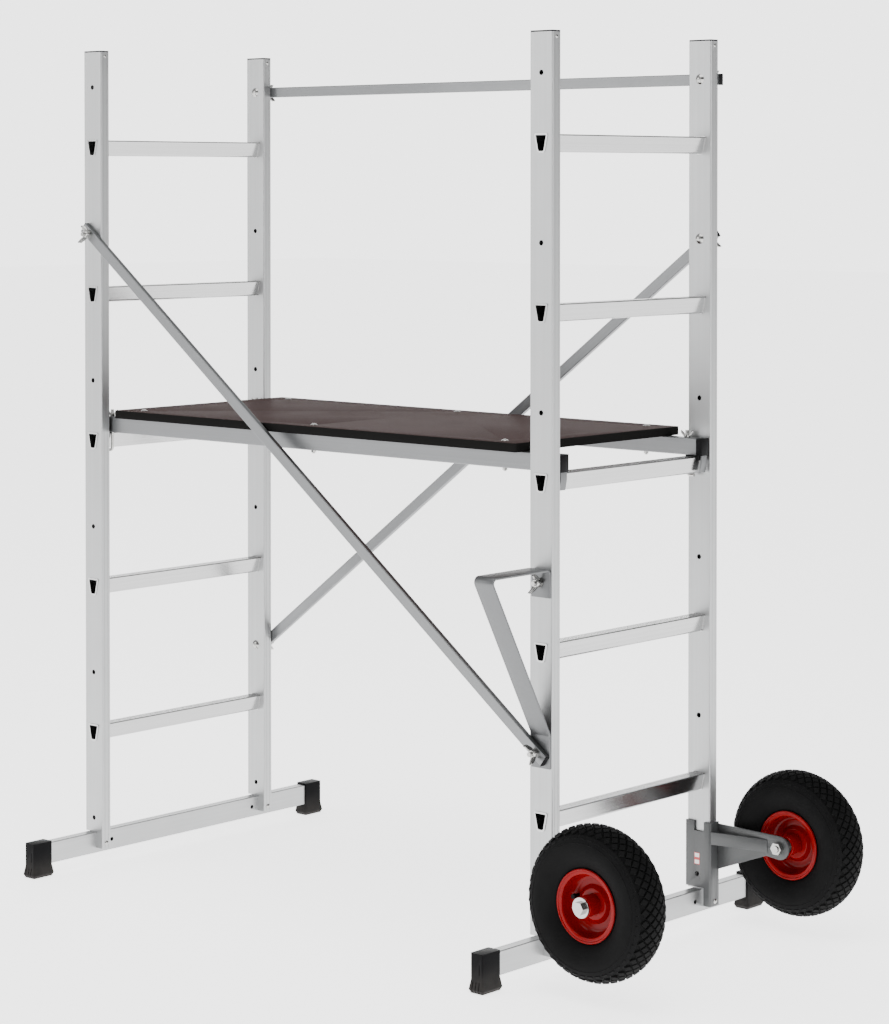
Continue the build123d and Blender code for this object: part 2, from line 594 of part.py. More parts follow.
def platform_fasteners():
    """Dome bolts down through panel and rails, and the nuts under the rails."""
    pieces = []
    for x in PANEL_BOLT_X:
        for s in SIDES.values():
            y, top = s * RAIL_Y, PANEL_Z + PANEL_T + TOUCH
            head = Pos(x, y, top) * dome(PANEL_BOLT_HEAD_R, PANEL_BOLT_HEAD_H)
            low = RAIL_Z - TOUCH - PANEL_NUT_H
            pieces.append(head + rod("Z", PANEL_BOLT_R, (x, y), (low - PANEL_BOLT_END, top)))
            hexagon = RegularPolygon(PANEL_NUT_AF / 2, 6, major_radius=False)
            nut = Pos(x, y, low) * extrude(hexagon, PANEL_NUT_H)
            pieces.append(nut - rod("Z", PANEL_BOLT_R + RUN, (x, y), (low - 1, RAIL_Z)))
    return group(pieces)


def hook(frame, side):
    """J hook: threaded rod down through the rail, its tip bent under the rung."""
    x, y, s = hook_x(frame), SIDES[side] * RAIL_Y, INWARD[frame]
    low = TREAD_Z - RUNG_HEIGHT - HOOK_R - HOOK_UNDER_GAP
    path = FilletPolyline((x, y, PANEL_Z + HOOK_THREAD), (x, y, low),
                          (x - s * HOOK_REACH, y, low), radius=HOOK_BEND)
    return sweep(Plane(origin=path @ 0, z_dir=path % 0) * Circle(HOOK_R), path=path)


def hook_nut(frame, side):
    seat = PANEL_Z + TOUCH
    nut = wing_nut(HOOK_NUT_SPAN_R, HOOK_NUT_SHRINK, HOOK_R + RUN)
    return Pos(hook_x(frame), SIDES[side] * RAIL_Y, seat) * Rot(0, 0, HOOK_NUT_TURN) * nut


# ---- wheel brackets ------------------------------------------------------------------------
def bracket_angle():
    """Folded angle round the inner corner of the right rear stile."""
    web_y = (IN_Y - BRACKET_GAP - BRACKET_T, IN_Y - BRACKET_GAP)
    z = (BRACKET_BOTTOM, BRACKET_TOP)
    x = RIGHT_X
    angle = block((x, x + BRACKET_OUT_X), web_y, z)
    angle += block((x + BRACKET_OUT_X - BRACKET_T, x + BRACKET_OUT_X), (web_y[0], OUT_Y), z)
    fold = [e for e in angle.edges().filter_by(Axis.Z)
            if abs(e.center().X - x - BRACKET_OUT_X) < 0.01 and abs(e.center().Y - web_y[0]) < 0.01]
    angle = fillet(fold, BRACKET_T)
    through = (web_y[0] - 1, web_y[1] + 1)
    start, end, depth = BRACKET_NOTCH
    angle -= block((x + start, x + end), through, (BRACKET_TOP - depth, BRACKET_TOP + 1))
    width, rise = BRACKET_FOOT_NOTCH
    angle -= block((x - 1, x + width), through, (0, BAR_TOP + rise))
    angle -= rod("Y", HOLE_R, (x + HOLE_X, HOLE_Z[0]), through)
    flange = (x + STILE_WIDTH, x + BRACKET_OUT_X + 1)
    return angle - rod("X", SCREW_R + BOLT_CLEARANCE, (STILE_Y, BAR_MID_Z), flange)


def axle_plate():
    """Tapered plate from the angle's outer edge to the axle, in line with the stile's face."""
    x, z = RIGHT_X + AXLE_X, AXLE_Z
    root = RIGHT_X + BRACKET_OUT_X
    outline = Polygon((root, z - ARM_ROOT_DROP), (x - ARM_KNEE[0], z - ARM_KNEE[1]),
                      (x, z - ARM_END_R), (x, z + ARM_END_R), (root, z + ARM_ROOT_RISE), align=None)
    outline += Pos(x, z) * Circle(ARM_END_R)
    outline -= Pos(x, z) * Circle(AXLE_R + RUN)
    return along_y(outline, OUT_Y - BRACKET_T, OUT_Y)


def bracket_strip():
    """Flat strip that props the axle plate from the angle's inner corner."""
    root, end = RIGHT_X + BRACKET_OUT_X, RIGHT_X + AXLE_X - STRIP_END
    inner, face = IN_Y - BRACKET_GAP, OUT_Y - BRACKET_T
    plan = Polygon((root, inner - BRACKET_T + STRIP_ROOT), (end, face - STRIP_TIP), (end, face),
                   (end - STRIP_LAP, face), (root, inner + STRIP_ROOT), align=None)
    return Pos(0, 0, AXLE_Z - STRIP_HEIGHT / 2) * extrude(plan, STRIP_HEIGHT)


HUB_Y = (WHEEL_Y - HUB_LENGTH / 2, WHEEL_Y + HUB_LENGTH / 2)
AXLE_AT = (RIGHT_X + AXLE_X, AXLE_Z)
WASHER_Y = (HUB_Y[1] + SIDE_PLAY, HUB_Y[1] + SIDE_PLAY + AXLE_WASHER_T)
AXLE_Y = (OUT_Y - BRACKET_T - AXLE_NUT_H - AXLE_PAST_NUT, WASHER_Y[1] + RUN)


def axle_bolt():
    """Hexagon bolt whose shank is the axle, its head outside the wheel."""
    hexagon = RegularPolygon(AXLE_NUT_AF / 2, 6, major_radius=False)
    head = along_y(hexagon, AXLE_Y[1], AXLE_Y[1] + AXLE_HEAD_H)
    return Pos(AXLE_AT[0], 0, AXLE_Z) * head + rod("Y", AXLE_R, AXLE_AT, AXLE_Y)


def axle_spacer():
    span = (OUT_Y + RUN, HUB_Y[0] - SIDE_PLAY)
    return rod("Y", SPACER_R, AXLE_AT, span) - rod("Y", AXLE_R + RUN, AXLE_AT, span)


def axle_fasteners():
    """Nut inside the plate, and the washer between hub and bolt head."""
    seat = OUT_Y - BRACKET_T - RUN
    hexagon = RegularPolygon(AXLE_NUT_AF / 2, 6, major_radius=False) - Circle(AXLE_R + RUN)
    nut = Pos(AXLE_AT[0], 0, AXLE_Z) * along_y(hexagon, seat - AXLE_NUT_H, seat)
    washer = rod("Y", AXLE_WASHER_R, AXLE_AT, WASHER_Y) - rod("Y", AXLE_R + RUN, AXLE_AT, WASHER_Y)
    return [nut, washer]


# ---- wheel, turned about Y on its own axle -------------------------------------------------
def on_axle(shape):
    return Pos(AXLE_AT[0], WHEEL_Y, AXLE_Z) * shape


def turned(outline):
    """Revolve a section drawn as radius along X and width along Y."""
    return revolve(outline, axis=Axis.Y)


def tyre_outline(crown_r, half_width, bead_half, bead_r, bead_top_r):
    """Half-round tyre section open towards the rim; radius along X, width along Y."""
    shoulder_r = crown_r - half_width * 0.25
    shoulder = half_width * 0.76
    belly_r = (bead_top_r + shoulder_r) / 2
    lines = [Line((bead_r, -bead_half), (bead_top_r, -bead_half)),
             ThreePointArc((bead_top_r, -bead_half), (belly_r, -half_width), (shoulder_r, -shoulder)),
             ThreePointArc((shoulder_r, -shoulder), (crown_r, 0), (shoulder_r, shoulder)),
             ThreePointArc((shoulder_r, shoulder), (belly_r, half_width), (bead_top_r, bead_half)),
             Line((bead_top_r, bead_half), (bead_r, bead_half)),
             Line((bead_r, bead_half), (bead_r, -bead_half))]
    return make_face(lines)


def tyre():
    bead_half = RIM_FLANGE - BEAD_GAP
    outer = tyre_outline(TYRE_R, TYRE_WIDTH / 2, bead_half, RIM_SEAT_R + BEAD_GAP,
                         RIM_LIP_R + 2 * BEAD_GAP)
    inner = tyre_outline(TYRE_R - TYRE_WALL, TYRE_WIDTH / 2 - TYRE_WALL, bead_half - TYRE_WALL,
                         RIM_SEAT_R - 1, RIM_LIP_R + TYRE_WALL)
    return on_axle(turned(outer - inner))


def rim_half():
    """Pressed dish: lipped flange, bead seat, rounded bowl, flat web and raised middle."""
    inside, web = RIM_SEAT_R - RIM_T, RIM_T + RIM_JOINT
    bowl = (RIM_BOWL_R, web)
    bowl_back = (RIM_BOWL_R, RIM_JOINT)
    front = [(HUB_R + RUN, RIM_BOSS_H), (RIM_BOSS_R, RIM_BOSS_H), (RIM_WEB_R, web), bowl]
    lip = [(inside, RIM_BOWL_H), (inside, RIM_FLANGE + RIM_T),
           (RIM_LIP_R - RIM_T, RIM_FLANGE + RIM_T),
           (RIM_LIP_R - RIM_T, RIM_HALF_WIDTH), (RIM_LIP_R, RIM_HALF_WIDTH), (RIM_LIP_R, RIM_FLANGE),
           (RIM_SEAT_R, RIM_FLANGE), (RIM_SEAT_R, RIM_BOWL_H)]
    back = [bowl_back, (RIM_WEB_R - 1.5, RIM_JOINT), (RIM_BOSS_R - 1.5, RIM_BOSS_H - RIM_T),
            (HUB_R + RUN, RIM_BOSS_H - RIM_T), front[0]]
    lines = [Polyline(*front), bowl_arc(bowl, lip[0]), Polyline(*lip)]
    lines += [bowl_arc(bowl_back, lip[-1]), Polyline(*back)]
    return turned(make_face(lines))


def bowl_arc(low, high):
    """Arc from the flat web out and up to the wall of the bead seat."""
    swing = radians(45)
    middle = (low[0] + (high[0] - low[0]) * sin(swing), high[1] - (high[1] - low[1]) * cos(swing))
    return ThreePointArc(low, middle, high)


def rim():
    half = rim_half()
    slot = Rot(0, 0, RIM_SLOT_ANGLE) * Pos(RIM_SLOT_PITCH_R, 0) * Rot(0, 0, 90)
    slot = along_y(slot * SlotOverall(*RIM_SLOT), 0, RIM_BOWL_H)
    return group([on_axle(half - slot), on_axle(mirror(half, about=Plane.XZ))])


def hub():
    body = rod("Y", HUB_R, AXLE_AT, HUB_Y) - rod("Y", HUB_BORE_R, AXLE_AT, HUB_Y)
    depth = BEARING_LENGTH + 2 * BEARING_SET
    for start, end in ((HUB_Y[0], HUB_Y[0] + depth), (HUB_Y[1] - depth, HUB_Y[1])):
        body -= rod("Y", BEARING_R, AXLE_AT, (start, end))
    return body


def bearings():
    pieces = []
    for low in (HUB_Y[0] + BEARING_SET, HUB_Y[1] - BEARING_SET - BEARING_LENGTH):
        span = (low, low + BEARING_LENGTH)
        ring = rod("Y", BEARING_R - RUN, AXLE_AT, span)
        pieces.append(ring - rod("Y", AXLE_R + RUN, AXLE_AT, span))
    return group(pieces)


def valve():
    """Stem and cap standing off the outer dish's web."""
    a, face = radians(VALVE_ANGLE), RIM_T + RIM_JOINT + RUN
    at = (VALVE_PITCH_R * cos(a), VALVE_PITCH_R * sin(a))
    stem = rod("Y", VALVE_R, at, (face, face + VALVE_LENGTH))
    cap = rod("Y", VALVE_CAP_R, at, (face + VALVE_CAP_START, face + VALVE_LENGTH))
    return on_axle(stem + cap)


# ---- every node ----------------------------------------------------------------------------
def build():
    nodes = {}
    for frame, x in FRAMES.items():
        for side in SIDES:
            nodes[f"{frame}_{side}_stile"] = stile(frame, side)
        nodes[f"{frame}_rungs"] = group(Pos(x + HOLE_X, 0, z) * rung() for z in RUNG_Z)
        nodes[f"{frame}_base_bar"] = base_bar(frame)
    corners = [(frame, side) for frame in FRAMES for side in SIDES]
    nodes["base_feet"] = group(foot(*c) for c in corners)
    nodes["stile_caps"] = group(stile_cap(*c) for c in corners)
    nodes["frame_screws"] = frame_screws()
    for name, (start, end, overhang) in BEAMS.items():
        nodes[name] = beam(start, end, overhang)
    nodes["tube_end_plugs"] = group(p for b in BEAMS.values() for p in beam_plugs(*b))
    nodes["clamp_bolts"] = group(clamp_bolt(*c[:4]) for c in CLAMPS.values())
    nodes["clamp_washers"] = group(clamp_washer(*c[:4]) for c in CLAMPS.values())
    for name, clamp in CLAMPS.items():
        nodes[f"{name}_wing_nut"] = clamp_nut(*clamp)
    nodes["strap_bracket"] = strap_bracket()

    nodes["platform_panel"] = panel()
    for side in SIDES:
        nodes[f"{side}_platform_rail"] = platform_rail(side)
    nodes["rail_end_plugs"] = group(rail_plug(*c) for c in corners)
    nodes["rail_claws"] = group(claw(*c) for c in corners)
    nodes["rung_saddles"] = group(saddle(*c) for c in corners)
    nodes["platform_fasteners"] = platform_fasteners()
    for frame, side in corners:
        nodes[f"{frame}_{side}_hook"] = hook(frame, side)
        nodes[f"{frame}_{side}_hook_nut"] = hook_nut(frame, side)

    bolts, spacers, fasteners = [], [], []
    for side, s in SIDES.items():
        nodes[f"{side}_bracket_angle"] = mirrored(bracket_angle(), s)
        arm = group([axle_plate(), bracket_strip()])
        nodes[f"{side}_bracket_arm"] = mirrored(arm, s)
        nodes[f"{side}_tyre"] = mirrored(tyre(), s)
        nodes[f"{side}_rim"] = mirrored(rim(), s)
        nodes[f"{side}_hub"] = mirrored(hub(), s)
        nodes[f"{side}_bearings"] = mirrored(bearings(), s)
        nodes[f"{side}_valve"] = mirrored(valve(), s)
        bolts.append(mirrored(axle_bolt(), s))
        spacers.append(mirrored(axle_spacer(), s))
        fasteners += [mirrored(piece, s) for piece in axle_fasteners()]
    nodes["axle_bolts"] = group(bolts)
    nodes["axle_spacers"] = group(spacers)
    nodes["axle_fasteners"] = group(fasteners)
    return nodes


os.makedirs("parts", exist_ok=True)
for name, shape in build().items():
    export_step(shape, f"parts/{name}.step")
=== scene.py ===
import json
from math import atan, cos, pi, radians, sin

import bpy
from mathutils import Matrix, Vector

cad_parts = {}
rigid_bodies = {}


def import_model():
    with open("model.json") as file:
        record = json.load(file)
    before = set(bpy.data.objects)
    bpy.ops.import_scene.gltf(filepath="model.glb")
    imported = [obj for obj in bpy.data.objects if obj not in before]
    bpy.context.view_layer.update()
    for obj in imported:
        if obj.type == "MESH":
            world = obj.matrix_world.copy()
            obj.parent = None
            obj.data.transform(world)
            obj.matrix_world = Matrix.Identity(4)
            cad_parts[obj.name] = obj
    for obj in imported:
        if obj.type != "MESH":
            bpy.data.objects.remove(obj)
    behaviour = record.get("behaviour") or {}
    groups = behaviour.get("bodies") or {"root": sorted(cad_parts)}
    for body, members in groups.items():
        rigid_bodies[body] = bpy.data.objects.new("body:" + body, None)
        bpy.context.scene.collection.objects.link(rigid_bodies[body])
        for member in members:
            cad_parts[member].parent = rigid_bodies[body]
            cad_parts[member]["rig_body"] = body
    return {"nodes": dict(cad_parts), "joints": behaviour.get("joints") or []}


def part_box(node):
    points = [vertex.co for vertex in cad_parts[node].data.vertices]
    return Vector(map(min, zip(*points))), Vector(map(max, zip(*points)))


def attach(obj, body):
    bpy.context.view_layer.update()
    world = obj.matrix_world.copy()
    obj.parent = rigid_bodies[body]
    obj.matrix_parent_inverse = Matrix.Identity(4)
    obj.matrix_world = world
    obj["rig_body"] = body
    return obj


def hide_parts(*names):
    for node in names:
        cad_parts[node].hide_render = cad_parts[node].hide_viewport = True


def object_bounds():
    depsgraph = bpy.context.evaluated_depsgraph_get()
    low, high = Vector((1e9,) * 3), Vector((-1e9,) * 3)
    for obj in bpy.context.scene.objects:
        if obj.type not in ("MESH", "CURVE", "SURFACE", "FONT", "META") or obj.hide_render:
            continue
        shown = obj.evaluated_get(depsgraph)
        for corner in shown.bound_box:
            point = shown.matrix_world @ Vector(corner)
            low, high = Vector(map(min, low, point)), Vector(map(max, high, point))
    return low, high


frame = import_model()
cad_low, cad_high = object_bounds()
nodes = frame["nodes"]

# ---- viewpoint -----------------------------------------------------------------------------
# A long lens held level with the upper rungs, off the corner where the front wheel is. The
# lens is shifted down so that the stiles stay upright and parallel.
bpy.ops.object.select_all(action="DESELECT")
bpy.ops.object.camera_add(
    location=(3.4227, -3.7646, 1.3124),
    rotation=(radians(90 - 1.139), 0, radians(42.178)))
camera = bpy.context.object.data
camera.sensor_fit = "VERTICAL"
camera.sensor_height = 36
camera.lens = 99.05
camera.shift_y = -0.2696
bpy.context.scene.camera = bpy.context.object

# ---- studio --------------------------------------------------------------------------------
# A plain pale floor, lit from within like a light table, under a pale grey sky that is a
# bright white backdrop behind the object and dimmer on two sides, which gives the metal its
# darker faces. Three soft boxes: one overhead, one on the left and one low on the right.
FLOOR_DROP = 0.0005     # keeps the floor's face off the soles of the feet
FLOOR_GLOW = 2.5
bpy.ops.mesh.primitive_plane_add(size=60, location=(0, 0, cad_low.z - FLOOR_DROP))
floor = bpy.context.object
floor.name = "studio_floor"
paper = bpy.data.materials.new("pale_floor")
paper.use_nodes = True
sheet = paper.node_tree.nodes["Principled BSDF"]
sheet.inputs["Base Color"].default_value = (0.90, 0.90, 0.90, 1)
sheet.inputs["Roughness"].default_value = 0.9
sheet.inputs["Emission Color"].default_value = (1, 1, 1, 1)
sheet.inputs["Emission Strength"].default_value = FLOOR_GLOW
floor.data.materials.append(paper)

sky = bpy.data.worlds.new("studio_sky")
sky.use_nodes = True
bpy.context.scene.world = sky
glow = sky.node_tree.nodes["Background"]
glow.inputs["Color"].default_value = (1, 1, 1, 1)
heading = sky.node_tree.nodes.new("ShaderNodeTexCoord")


def sky_zone(towards, start, end, low, high):
    """Sky strength that goes from low to high as the heading turns to a point."""
    facing = sky.node_tree.nodes.new("ShaderNodeVectorMath")
    facing.operation = "DOT_PRODUCT"
    facing.inputs[1].default_value = (*towards, 0)
    zone = sky.node_tree.nodes.new("ShaderNodeMapRange")
    zone.interpolation_type = "SMOOTHSTEP"
    for socket, value in enumerate((start, end, low, high), 1):
        zone.inputs[socket].default_value = value
    sky.node_tree.links.new(heading.outputs["Generated"], facing.inputs[0])
    sky.node_tree.links.new(facing.outputs["Value"], zone.inputs["Value"])
    return zone.outputs["Result"]


BEHIND = (-0.671, 0.741)
SHADED = ((0.671, -0.741), (0.68, 0.73))
SKY, BACKDROP, DIMMED = 0.6, 3.3, 0.25
strength = sky_zone(BEHIND, 0.80, 0.93, SKY, BACKDROP)
for shaded in SHADED:
    weaken = sky.node_tree.nodes.new("ShaderNodeMath")
    weaken.operation = "MULTIPLY"
    sky.node_tree.links.new(strength, weaken.inputs[0])
    sky.node_tree.links.new(sky_zone(shaded, 0.72, 0.94, 1.0, DIMMED), weaken.inputs[1])
    strength = weaken.outputs[0]
sky.node_tree.links.new(strength, glow.inputs["Strength"])


def soft_box(name, place, aim, size, power):
    """A square studio lamp turned to face the point aim."""
    turn = (Vector(aim) - Vector(place)).to_track_quat("-Z", "Y").to_euler()
    bpy.ops.object.light_add(type="AREA", location=place, rotation=turn)
    lamp = bpy.context.object
    lamp.name = name
    lamp.data.size = size
    lamp.data.energy = power


soft_box("overhead_box", (0.5, -0.8, 4.2), (0, 0, 0.8), 3.0, 90)
soft_box("left_box", (-2.6, -3.2, 2.2), (0, 0, 0.8), 2.0, 45)
soft_box("right_box", (4.0, -0.6, 1.6), (0, 0, 0.7), 1.6, 30)


# ---- stiles and base bars ------------------------------------------------------------------
# Rectangular aluminium tube, extruded and left as it comes from the die: satin, with fine
# lines along its length, faint clouds and the odd handling scratch. The base bars are let
# into notches under the stiles and lie along Y.
class Wire:
    """A value in a finish's node tree. Sums written with it become Math nodes."""

    def __init__(self, finish, socket):
        self.finish = finish
        self.socket = socket

    def math(self, operation, *values):
        return self.finish.node("Math", {"operation": operation}, dict(enumerate(values)))

    def __add__(self, other):
        return self.math("ADD", self, other)

    def __sub__(self, other):
        return self.math("SUBTRACT", self, other)

    def __rsub__(self, other):
        return self.math("SUBTRACT", other, self)

    def __mul__(self, other):
        return self.math("MULTIPLY", self, other)

    def __abs__(self):
        return self.math("ABSOLUTE", self)

    def __lt__(self, other):
        return self.math("LESS_THAN", self, other)

    def __gt__(self, other):
        return self.math("GREATER_THAN", self, other)

    __radd__ = __add__
    __rmul__ = __mul__

    def sine(self):
        return self.math("SINE", self)

    def least(self, other):
        return self.math("MINIMUM", self, other)


SOCKETS = {"ior": "IOR"}    # the one socket whose name isn't in plain capitals


class Finish:
    """One material: a Principled surface, and the nodes that vary it."""

    def __init__(self, name, **constants):
        self.material = bpy.data.materials.new(name)
        self.material.use_nodes = True
        self.tree = self.material.node_tree
        self.surface = self.tree.nodes["Principled BSDF"]
        self.set(**constants)

    def node(self, kind, settings=None, inputs=None, output=0):
        """Add one node: its settings first, then the values or links of its sockets."""
        made = self.tree.nodes.new("ShaderNode" + kind)
        for name, value in (settings or {}).items():
            setattr(made, name, value)
        for socket, value in (inputs or {}).items():
            self.feed(made.inputs[socket], value)
        return Wire(self, made.outputs[output])

    def feed(self, socket, value):
        """Link a socket to a Wire, or set it to a value."""
        if isinstance(value, Wire):
            self.tree.links.new(value.socket, socket)
        elif socket.type == "RGBA" and len(value) == 3:
            socket.default_value = (*value, 1)
        else:
            socket.default_value = value

    def set(self, **values):
        """Feed the surface: base_color, roughness, metallic, coat_weight and so on."""
        for name, value in values.items():
            self.feed(self.surface.inputs[SOCKETS.get(name, name.replace("_", " ").title())], value)

    def place(self, turn=0.0):
        """Where a point is on the object, in metres, turned about Y."""
        here = self.node("TexCoord", output="Object")
        if not turn:
            return here
        return self.node("Mapping", {}, {"Vector": here, "Rotation": (0, turn, 0)})

    def axes(self, place):
        """A vector's three parts."""
        split = {"Vector": place}
        return [self.node("SeparateXYZ", {}, split, output=k) for k in range(3)]

    def noise(self, place, stretch, detail=2.0, rough=0.5):
        """Noise with a cell count per metre along each axis."""
        scaled = self.node("VectorMath", {"operation": "MULTIPLY"}, {0: place, 1: stretch})
        values = {"Vector": scaled, "Scale": 1.0, "Detail": detail, "Roughness": rough}
        return self.node("TexNoise", {}, values)

    def blend(self, share, first, second):
        """Mix two colours."""
        values = {0: share, 6: first, 7: second}
        return self.node("Mix", {"data_type": "RGBA"}, values, output=2)

    def stepped(self, value, low, high):
        """0 below low, 1 above high, smooth between."""
        values = {0: value, 1: low, 2: high}
        return self.node("MapRange", {"interpolation_type": "SMOOTHSTEP"}, values)

    def bump(self, height, depth, over=None):
        """Raise the surface by height times depth, in metres, on top of another bump."""
        values = {"Height": height, "Strength": 1.0, "Distance": depth}
        if over is not None:
            values["Normal"] = over
        return self.node("Bump", {}, values)

    def cover(self, *names):
        """Put the finish on CAD nodes, in place of what they came with."""
        for name in names:
            mesh = nodes[name].data
            mesh.materials.clear()
            mesh.materials.append(self.material)


def shade(tone, factor):
    """A tone made lighter or darker."""
    return tuple(channel * factor for channel in tone)


ACROSS = 1500.0     # die lines in a metre of width
ALONG = 7.0         # and how often one changes along a metre
LONG_AXES = {
    "x": (ALONG, ACROSS, ACROSS),
    "y": (ACROSS, ALONG, ACROSS),
    "z": (ACROSS, ACROSS, ALONG),
}


def extruded(name, along, tone, roughness, turn=0.0):
    """Extruded aluminium whose die lines run along one axis, turned about Y for a diagonal."""
    finish = Finish(name, metallic=1.0)
    place = finish.place(turn)
    lines = finish.noise(place, LONG_AXES[along], 3.0, 0.7)
    clouds = finish.noise(place, (14, 14, 14), 3.0, 0.6)
    scuffs = finish.stepped(finish.noise(place, (160, 35, 420), 4.0, 0.65), 0.66, 0.74)
    bands = finish.noise(place, tuple(count * 0.16 for count in LONG_AXES[along]), 2.0, 0.6)
    worn = finish.blend(lines * 0.5 + bands * 0.5, shade(tone, 0.78), shade(tone, 1.18))
    clouded = finish.blend(clouds * 0.35, worn, shade(tone, 0.86))
    finish.set(base_color=finish.blend(scuffs * 0.25, clouded, shade(tone, 1.1)))
    finish.set(roughness=roughness - 0.06 + lines * 0.12 + clouds * 0.08 + scuffs * 0.06)
    finish.set(normal=finish.bump(lines, 0.00003))
    return finish


STILE_TONE = (0.44, 0.445, 0.447)
stile_metal = extruded("satin_stile_aluminium", "z", STILE_TONE, 0.36)
across = stile_metal.axes(stile_metal.place())[1]
low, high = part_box("left_rear_stile")
DIE_LINE = 0.0042       # the two lines on a stile's narrow face, from its middle
off_line = abs(abs(abs(across) - (low.y + high.y) / 2) - DIE_LINE)
off_groove = stile_metal.stepped(off_line, 0.0002, 0.0007)
level = abs(stile_metal.axes(stile_metal.node("NewGeometry", output="Normal"))[0]) > 0.9
# The two die lines on a narrow face are shallow grooves, and their colour is darkened as painted
# shade in them.
groove_and_shade = (1 - off_groove) * level
plain = Wire(stile_metal, stile_metal.surface.inputs["Base Color"].links[0].from_socket)
stile_metal.set(base_color=stile_metal.blend(groove_and_shade * 0.6, plain, shade(STILE_TONE, 0.45)))
smooth = Wire(stile_metal, stile_metal.surface.inputs["Normal"].links[0].from_socket)
stile_metal.set(normal=stile_metal.bump(1 - groove_and_shade, 0.0003, smooth))
stile_metal.cover("left_front_stile", "left_rear_stile", "right_front_stile", "right_rear_stile")
bar_metal = extruded("satin_bar_aluminium", "y", STILE_TONE, 0.36)
bar_metal.cover("left_base_bar", "right_base_bar")

# ---- rungs ---------------------------------------------------------------------------------
# Hollow aluminium trapezoids pushed through both stiles and swaged there. Their treads are
# ribbed for grip, and their sides are brighter than the stiles.
RUNG_TONE = (0.48, 0.48, 0.48)
RIB = 0.0027            # pitch of the grip ribs along a tread's width
rung_metal = extruded("bright_rung_aluminium", "y", RUNG_TONE, 0.17)
on_tread = rung_metal.axes(rung_metal.node("NewGeometry", output="Normal"))[2] > 0.9
ridge = abs((rung_metal.axes(rung_metal.place())[0] * (pi / RIB)).sine())
# Between the tread's ribs the colour is darkened as painted shade.
rib_valley_shade = (1 - ridge) * on_tread
plain = Wire(rung_metal, rung_metal.surface.inputs["Base Color"].links[0].from_socket)
rung_metal.set(base_color=rung_metal.blend(rib_valley_shade * 0.7, plain, shade(RUNG_TONE, 0.35)))
smooth = Wire(rung_metal, rung_metal.surface.inputs["Normal"].links[0].from_socket)
rung_metal.set(normal=rung_metal.bump(ridge * on_tread, 0.0006, smooth))
rung_metal.cover("left_rungs", "right_rungs")

# ---- diagonals, guard rail and platform rails ----------------------------------------------
# Flat rectangular aluminium tube, duller than the frames. The diagonals slope by the drop
# between their two clamps, and their die lines with them.
BRACE_TONE = (0.20, 0.204, 0.208)
low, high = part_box("front_brace")
slope = (high.z - low.z) / (high.x - low.x)
for name, side in (("front_brace", 1), ("rear_brace", -1)):
    diagonal = extruded(f"dull_{name}_aluminium", "x", BRACE_TONE, 0.33, side * -atan(slope))
    diagonal.cover(name)
rail_metal = extruded("dull_rail_aluminium", "x", BRACE_TONE, 0.33)
rail_metal.cover("guard_rail", "front_platform_rail", "rear_platform_rail")


# ---- moulded plastic pieces ----------------------------------------------------------------
# Feet over the base bars' ends, caps in the stiles, plugs in every tube and blocks on the
# platform rails: black plastic with a fine spark grain, its edges eased by the mould.
def eased(name, width, finish, segments=2):
    """Make a CAD piece with its sharp edges rounded, which stands for its node."""
    piece = bpy.data.objects.new(f"{name}_eased", nodes[name].data.copy())
    bpy.context.scene.collection.objects.link(piece)
    bpy.ops.object.select_all(action="DESELECT")
    piece.select_set(True)
    bpy.context.view_layer.objects.active = piece
    bpy.context.tool_settings.mesh_select_mode = (True, False, False)
    bpy.ops.object.mode_set(mode="EDIT")
    bpy.ops.mesh.select_all(action="SELECT")
    bpy.ops.mesh.customdata_custom_splitnormals_clear()
    bpy.ops.mesh.remove_doubles(threshold=0.000002)
    bpy.ops.mesh.dissolve_limited(angle_limit=radians(0.5))
    bpy.ops.object.mode_set(mode="OBJECT")
    edge = piece.modifiers.new("eased_edges", "BEVEL")
    edge.width = width
    edge.segments = segments
    edge.limit_method = "ANGLE"
    edge.angle_limit = radians(35)
    edge.use_clamp_overlap = True
    bpy.ops.object.modifier_apply(modifier="eased_edges")
    bpy.ops.object.shade_smooth_by_angle(angle=radians(40))
    piece.data.materials.clear()
    piece.data.materials.append(finish.material)
    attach(piece, nodes[name]["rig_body"])
    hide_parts(name)


def moulded(name, tone, roughness):
    """Grained plastic, dusty near the floor."""
    finish = Finish(name, ior=1.15)
    place = finish.place()
    grain = finish.noise(place, (2600, 2600, 2600), 2.0)
    patches = finish.noise(place, (45, 45, 45), 4.0, 0.6)
    height = finish.axes(place)[2]
    dust = (1 - finish.stepped(height, 0.0, 0.05)) * patches
    clean = finish.blend(patches * 0.5, tone, shade(tone, 1.8))
    finish.set(base_color=finish.blend(dust * 0.35, clean, (0.11, 0.10, 0.09)))
    finish.set(roughness=roughness + patches * 0.12 + dust * 0.2)
    finish.set(normal=finish.bump(grain, 0.00006))
    return finish


black_plastic = moulded("grained_black_plastic", (0.005, 0.005, 0.0055), 0.42)
eased("base_feet", 0.0012, black_plastic)
eased("stile_caps", 0.0008, black_plastic)
eased("tube_end_plugs", 0.0005, black_plastic)
eased("rail_end_plugs", 0.0008, black_plastic)
soft_plastic = moulded("soft_saddle_plastic", (0.010, 0.010, 0.0105), 0.55)
eased("rung_saddles", 0.0004, soft_plastic)


